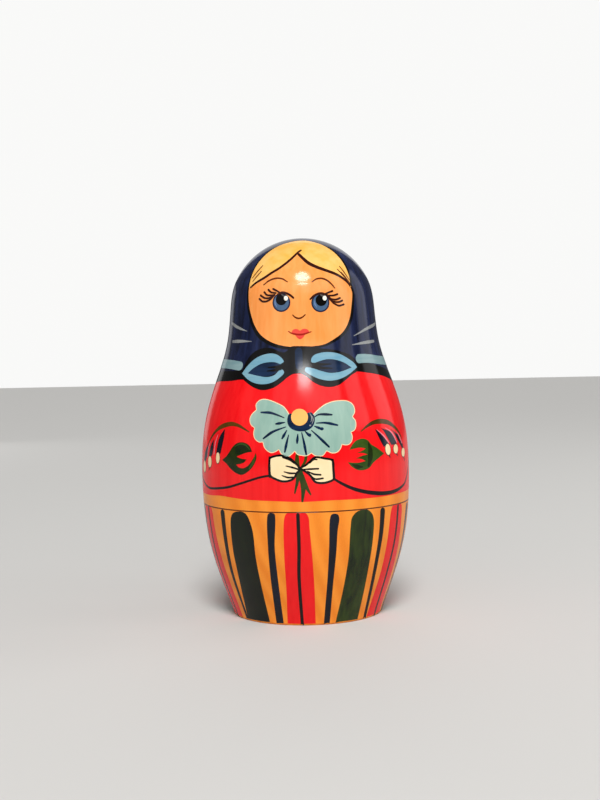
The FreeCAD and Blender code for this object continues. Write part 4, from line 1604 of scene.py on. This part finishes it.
@dataclass
class Skirt:
    """The striped skirt. Each gap between two red stripes has a navy, a green and a thin black one."""

    red_turns: tuple[float, ...] = (0.0, 64.0, 122.0, 180.0, -122.0, -64.0)
    right_gap_turns: tuple[float, ...] = (0.0, 61.0, 119.0)
    left_gap_turns: tuple[float, ...] = (0.0, -60.0, -118.0)
    foot_line: float = 0.06  # how far up the side the stripes end
    seam_gap: float = 0.29  # how far below the seam they end
    slope_points: int = 6  # how many points back a stripe's slope at its end is taken
    red: Line = (
        (287.6, 624.4), (286.1, 585.7), (284.2, 557.0), (284.2, 518.6), (286.6, 513.6), (296.0, 513.0),
        (305.6, 513.2), (308.6, 517.6), (309.6, 528.3), (312.4, 557.0), (314.4, 585.7), (315.8, 624.0))
    red_line: Brushed = (((297.8, 513.0), (299.0, 547.4), (299.0, 576.1), (302.4, 625.0)), (1.1, 1.1, 1.05, 1.0))
    left_navy: Line = (
        (276.6, 624.0), (269.9, 572.3), (267.9, 547.4), (267.0, 518.6), (268.2, 513.8), (271.2, 513.0),
        (274.4, 514.2), (275.2, 518.6), (274.6, 547.4), (277.0, 572.3), (283.7, 624.0))
    left_green: Line = (
        (247.8, 618.2), (238.3, 576.1), (232.5, 547.4), (230.6, 518.7), (232.6, 513.4), (237.6, 511.6),
        (243.4, 512.4), (246.9, 515.8), (252.2, 530.2), (255.5, 557.0), (261.2, 585.7), (269.9, 622.5))
    left_thin: Brushed = (((222.0, 510.1), (224.9, 535.9), (231.6, 571.3), (246.9, 617.3)), (2.2, 1.8, 1.3, 1.0))
    right_navy: Line = (
        (323.9, 624.0), (327.8, 576.1), (329.2, 547.4), (330.1, 518.7), (331.6, 514.8), (334.9, 513.7),
        (338.2, 514.8), (339.4, 518.6), (337.8, 530.2), (336.4, 552.2), (333.5, 580.9), (329.7, 624.0))
    right_green: Line = (
        (335.4, 623.5), (343.1, 590.5), (348.8, 557.0), (350.7, 528.3), (352.2, 517.8), (356.4, 512.4),
        (362.0, 509.8), (367.0, 509.3), (371.8, 513.0), (373.9, 518.7), (373.2, 537.8), (368.9, 566.6),
        (363.2, 595.3), (357.4, 620.1))
    right_thin: Brushed = (
        ((383.1, 508.6), (381.3, 533.1), (376.6, 561.8), (370.8, 590.5), (364.6, 618.2)), (2.2, 1.7, 1.4, 1.3))

    def carry(self, line: np.ndarray, end: int, drop: float) -> None:
        """Carries one end of a line straight on, downwards.

        Args:
            line: the line.
            end: 0 for its first point, or -1 for its last.
            drop: how far down, in millimetres.
        """
        inner = end - self.slope_points if end else self.slope_points
        slope = (line[end] - line[inner]) / abs(line[end][1] - line[inner][1])
        line[end] = line[end] + slope * drop

    def stripe(self, maker: SheetMaker, pixels: Line) -> np.ndarray:
        """The outline of a stripe that runs down to the foot.

        Args:
            maker: the sheet maker.
            pixels: its left side up, its round top, and its right side down.

        Returns:
            The outline.
        """
        line = smooth(maker.seen(pixels))
        for end in (0, -1):
            self.carry(line, end, line[end][1] - self.foot_line)
        line[:, 1] = np.minimum(line[:, 1], maker.side.seam - self.seam_gap)
        return line

    def thin_stripe(self, maker: SheetMaker, pixels: Line, widths: Widths) -> np.ndarray:
        """The outline of a thin stripe that runs down to the foot.

        Args:
            maker: the sheet maker.
            pixels: its middle, downwards.
            widths: its widths in millimetres.

        Returns:
            The outline.
        """
        line = smooth(maker.seen(pixels))
        self.carry(line, -1, line[-1][1] - self.foot_line - widths[-1] / 2)
        highest = maker.side.seam - self.seam_gap - widths[0] / 2
        below = line[line[:, 1] < highest]
        return ribbon(np.concatenate([[[below[0][0], highest]], below]), widths)

    def motifs(self, maker: SheetMaker) -> list[Motif]:
        """Makes the stripes.

        Args:
            maker: the sheet maker.

        Returns:
            Their motifs.
        """
        whole, right, left = (tuple(math.radians(turn) for turn in turns)
                              for turns in (self.red_turns, self.right_gap_turns, self.left_gap_turns))
        stripe, thin = self.stripe, self.thin_stripe
        rows = [
            ("red_stripes", Palette.stripe_red, Layer.DRESS, stripe(maker, self.red), whole),
            ("black_red_stripe_lines", Palette.black, Layer.SCARF, thin(maker, *self.red_line), whole),
            ("navy_right_stripes", Palette.dark_navy, Layer.DRESS, stripe(maker, self.right_navy), right),
            ("green_right_stripes", Palette.green, Layer.DRESS, stripe(maker, self.right_green), right),
            ("black_right_stripes", Palette.black, Layer.DRESS, thin(maker, *self.right_thin), right),
            ("navy_left_stripes", Palette.dark_navy, Layer.DRESS, stripe(maker, self.left_navy), left),
            ("green_left_stripes", Palette.dark_green, Layer.DRESS, stripe(maker, self.left_green), left),
            ("black_left_stripes", Palette.black, Layer.DRESS, thin(maker, *self.left_thin), left)]
        return [Motif(name, paint, layer, Half.BASE, maker.patch([outline]), turns)
                for name, paint, layer, outline, turns in rows]


# The dolls


@dataclass
class Doll:
    """One doll of the family.

    Attributes:
        name: the start of its pieces' names.
        base, top: the nodes that hold its foot and its crown.
        place: its place in the family, from one for the largest.
    """

    name: str
    base: str
    top: str
    place: int
    side: DollSide = field(init=False)

    def __post_init__(self) -> None:
        """Reads the doll's side."""
        self.side = DollSide(self.base, self.top)

    def node_of(self, half: Half) -> str:
        """The node, and the body of the same name, that carries a half."""
        return self.top if half is Half.TOP else self.base

    def dress(self, motifs: Sequence[Motif], finishes: Finishes, largest: DollSide) -> None:
        """Paints the doll.

        Args:
            motifs: what is painted on the largest doll.
            finishes: the materials.
            largest: the largest doll's side.
        """
        scale = self.side.length / largest.length
        if self.side.seam is not None:
            scale = self.side.seam / largest.seam
        worn = [motif for motif in motifs if motif.dolls >= self.place]
        for motif in worn:
            film = lay(motif.sheet, f"{self.name}_{motif.name}", self.side, scale, motif.layer, motif.turns)
            cover(film.data, finishes.material_of(motif.paint))
            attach(film, self.node_of(motif.half))
        for node in sorted({self.base, self.top}):
            cover(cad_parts[node].data, finishes.material_of(Palette.bare_wood))
        LOG.info("%s: scale %.4f, %d films", self.name, scale, len(worn))


class Pane(Enum):
    """The outline of a soft lamp."""

    OBLONG = "RECTANGLE"
    OVAL = "ELLIPSE"


@dataclass
class Studio:
    """A plain pale floor with soft light.

    Attributes:
        floor_size: the side of the floor, in millimetres.
        floor_colour, floor_roughness: its look.
        world_colour, world_strength: the even light from all round.
        aim: the place that every lamp faces, in millimetres.
        sun_reach: how far off a far lamp is drawn.
        suns: name, azimuth and height over the horizon in degrees, how wide it looks, and strength.
        lamps: name, azimuth and height, distance, width and height in millimetres, power and outline.
    """

    floor_size: float = 6000.0
    floor_colour: Colour = (0.60, 0.59, 0.57, 1.0)
    floor_roughness: float = 0.9
    world_colour: Colour = (0.95, 0.95, 0.94, 1.0)
    world_strength: float = 0.16
    aim: tuple[float, float, float] = (0.0, 0.0, 90.0)
    sun_reach: float = 900.0
    suns: tuple[tuple[str, float, float, float, float], ...] = (
        ("main_lamp", 1.2, 51.5, 19.5, 2.45), ("back_lamp", 180.0, 24.0, 40.0, 0.4))
    lamps: tuple[tuple[str, float, float, float, Size, float, Pane], ...] = (
        ("low_lamp", 0.9, 37.4, 700.0, (200.0, 42.0), 0.7, Pane.OVAL),
        ("front_pane", -20.0, 32.0, 900.0, (620.0, 280.0), 0.42, Pane.OBLONG),
        ("near_pane", 25.0, 33.0, 900.0, (660.0, 320.0), 1.0, Pane.OBLONG),
        ("middle_pane", 69.0, 28.0, 900.0, (320.0, 560.0), 0.9, Pane.OBLONG),
        ("far_pane", 108.0, 18.0, 900.0, (400.0, 640.0), 1.1, Pane.OBLONG),
        ("left_window", -55.0, 25.0, 900.0, (900.0, 800.0), 0.5, Pane.OBLONG),
        ("left_softbox", -150.0, 4.0, 900.0, (260.0, 230.0), 0.16, Pane.OBLONG))

    def floor(self) -> None:
        """Adds the floor."""
        deselect_all()
        bpy.ops.mesh.primitive_plane_add(size=self.floor_size * MM, location=(0, 0, 0))
        plane = bpy.context.object
        plane.name = "studio_floor"
        material = bpy.data.materials.new("pale floor")
        material.use_nodes = True
        tree = material.node_tree
        feed(tree, tree.nodes["Principled BSDF"],
             {"Base Color": self.floor_colour, "Roughness": self.floor_roughness})
        cover(plane.data, material)

    def world(self) -> None:
        """Lights the scene evenly, and shows white behind the object."""
        world = bpy.data.worlds.new("studio")
        bpy.context.scene.world = world
        world.use_nodes = True
        tree = world.node_tree
        back = tree.nodes["Background"]
        feed(tree, back, {"Color": self.world_colour, "Strength": self.world_strength})
        shown = add_node(tree, "Background", {"Color": self.world_colour, "Strength": 1.0})
        path = add_node(tree, "LightPath", {})
        mix = add_node(tree, "MixShader", {0: path.outputs["Is Camera Ray"], 1: back.outputs[0], 2: shown.outputs[0]})
        feed(tree, tree.nodes["World Output"], {"Surface": mix.outputs[0]})

    def lamp(self, name: str, turn: float, rise: float, reach: float, size: Size, power: float, shape: Pane) -> None:
        """Adds a soft lamp.

        Args:
            name: its name.
            turn, rise: its azimuth and height over the horizon as the object sees it, in degrees.
            reach: its distance in millimetres.
            size: its width and height in millimetres.
            power: its power in watts.
            shape: its outline.
        """
        data = bpy.data.lights.new(name, "AREA")
        data.shape = shape.value
        data.size, data.size_y = size[0] * MM, size[1] * MM
        data.energy = power
        self.hang(name, data, turn, rise, reach)

    def sun(self, name: str, turn: float, rise: float, spread: float, strength: float) -> None:
        """Adds a far round lamp, which lights the whole floor evenly.

        Args:
            name: its name.
            turn, rise: its azimuth and height over the horizon, in degrees.
            spread: how wide it looks, in degrees.
            strength: its strength in watts a square metre.
        """
        data = bpy.data.lights.new(name, "SUN")
        data.angle = math.radians(spread)
        data.energy = strength
        self.hang(name, data, turn, rise, self.sun_reach)

    def hang(self, name: str, data: bpy.types.Light, turn: float, rise: float, reach: float) -> None:
        """Hangs a lamp so that it faces the object.

        Args:
            name: its name.
            data: the lamp's data.
            turn, rise: its azimuth and height over the horizon, in degrees.
            reach: its distance in millimetres.
        """
        turned, risen = math.radians(turn), math.radians(rise)
        way = Vector((math.sin(turned) * math.cos(risen), -math.cos(turned) * math.cos(risen), math.sin(risen)))
        lamp = bpy.data.objects.new(name, data)
        lamp.location = (Vector(self.aim) + way * reach) * MM
        lamp.rotation_mode = "QUATERNION"
        lamp.rotation_quaternion = way.to_track_quat("Z", "Y")
        bpy.context.scene.collection.objects.link(lamp)

    def build(self) -> None:
        """Adds the floor, the world and the lamps."""
        bpy.context.scene.view_settings.view_transform = "Standard"
        self.floor()
        self.world()
        for sun in self.suns:
            self.sun(*sun)
        for lamp in self.lamps:
            self.lamp(*lamp)


def main() -> None:
    """Builds the camera, the dolls and the studio, and reports each piece."""
    logging.basicConfig(level=logging.INFO, format="%(levelname)s %(message)s")
    camera = PhotoCamera()
    camera.add()
    finishes = Finishes()
    family = [Doll(name, f"{name}_base", f"{name}_top", place) for place, name in enumerate(HOLLOW_DOLLS, 1)]
    family.append(Doll("smallest", SMALLEST_DOLL, SMALLEST_DOLL, ALL_DOLLS))
    largest = family[0].side
    maker = SheetMaker(largest, camera)
    scarf = Scarf()
    motifs = Grounds().motifs(maker, scarf.hem(maker))
    for assembly in (scarf, Face(), Knot(), Flower(), Hands(), Sprigs(), Skirt()):
        made = assembly.motifs(maker)
        for motif in made:
            faces = len(motif.sheet.pattern.data.polygons)
            LOG.info("%s: %s, %d faces", type(assembly).__name__, motif.name, faces)
        motifs += made
    for doll in family:
        doll.dress(motifs, finishes, largest)
    for motif in motifs:
        mesh = motif.sheet.pattern.data
        bpy.data.objects.remove(motif.sheet.pattern)
        bpy.data.meshes.remove(mesh)
    Studio().build()


if __name__ == "__main__":
    main()
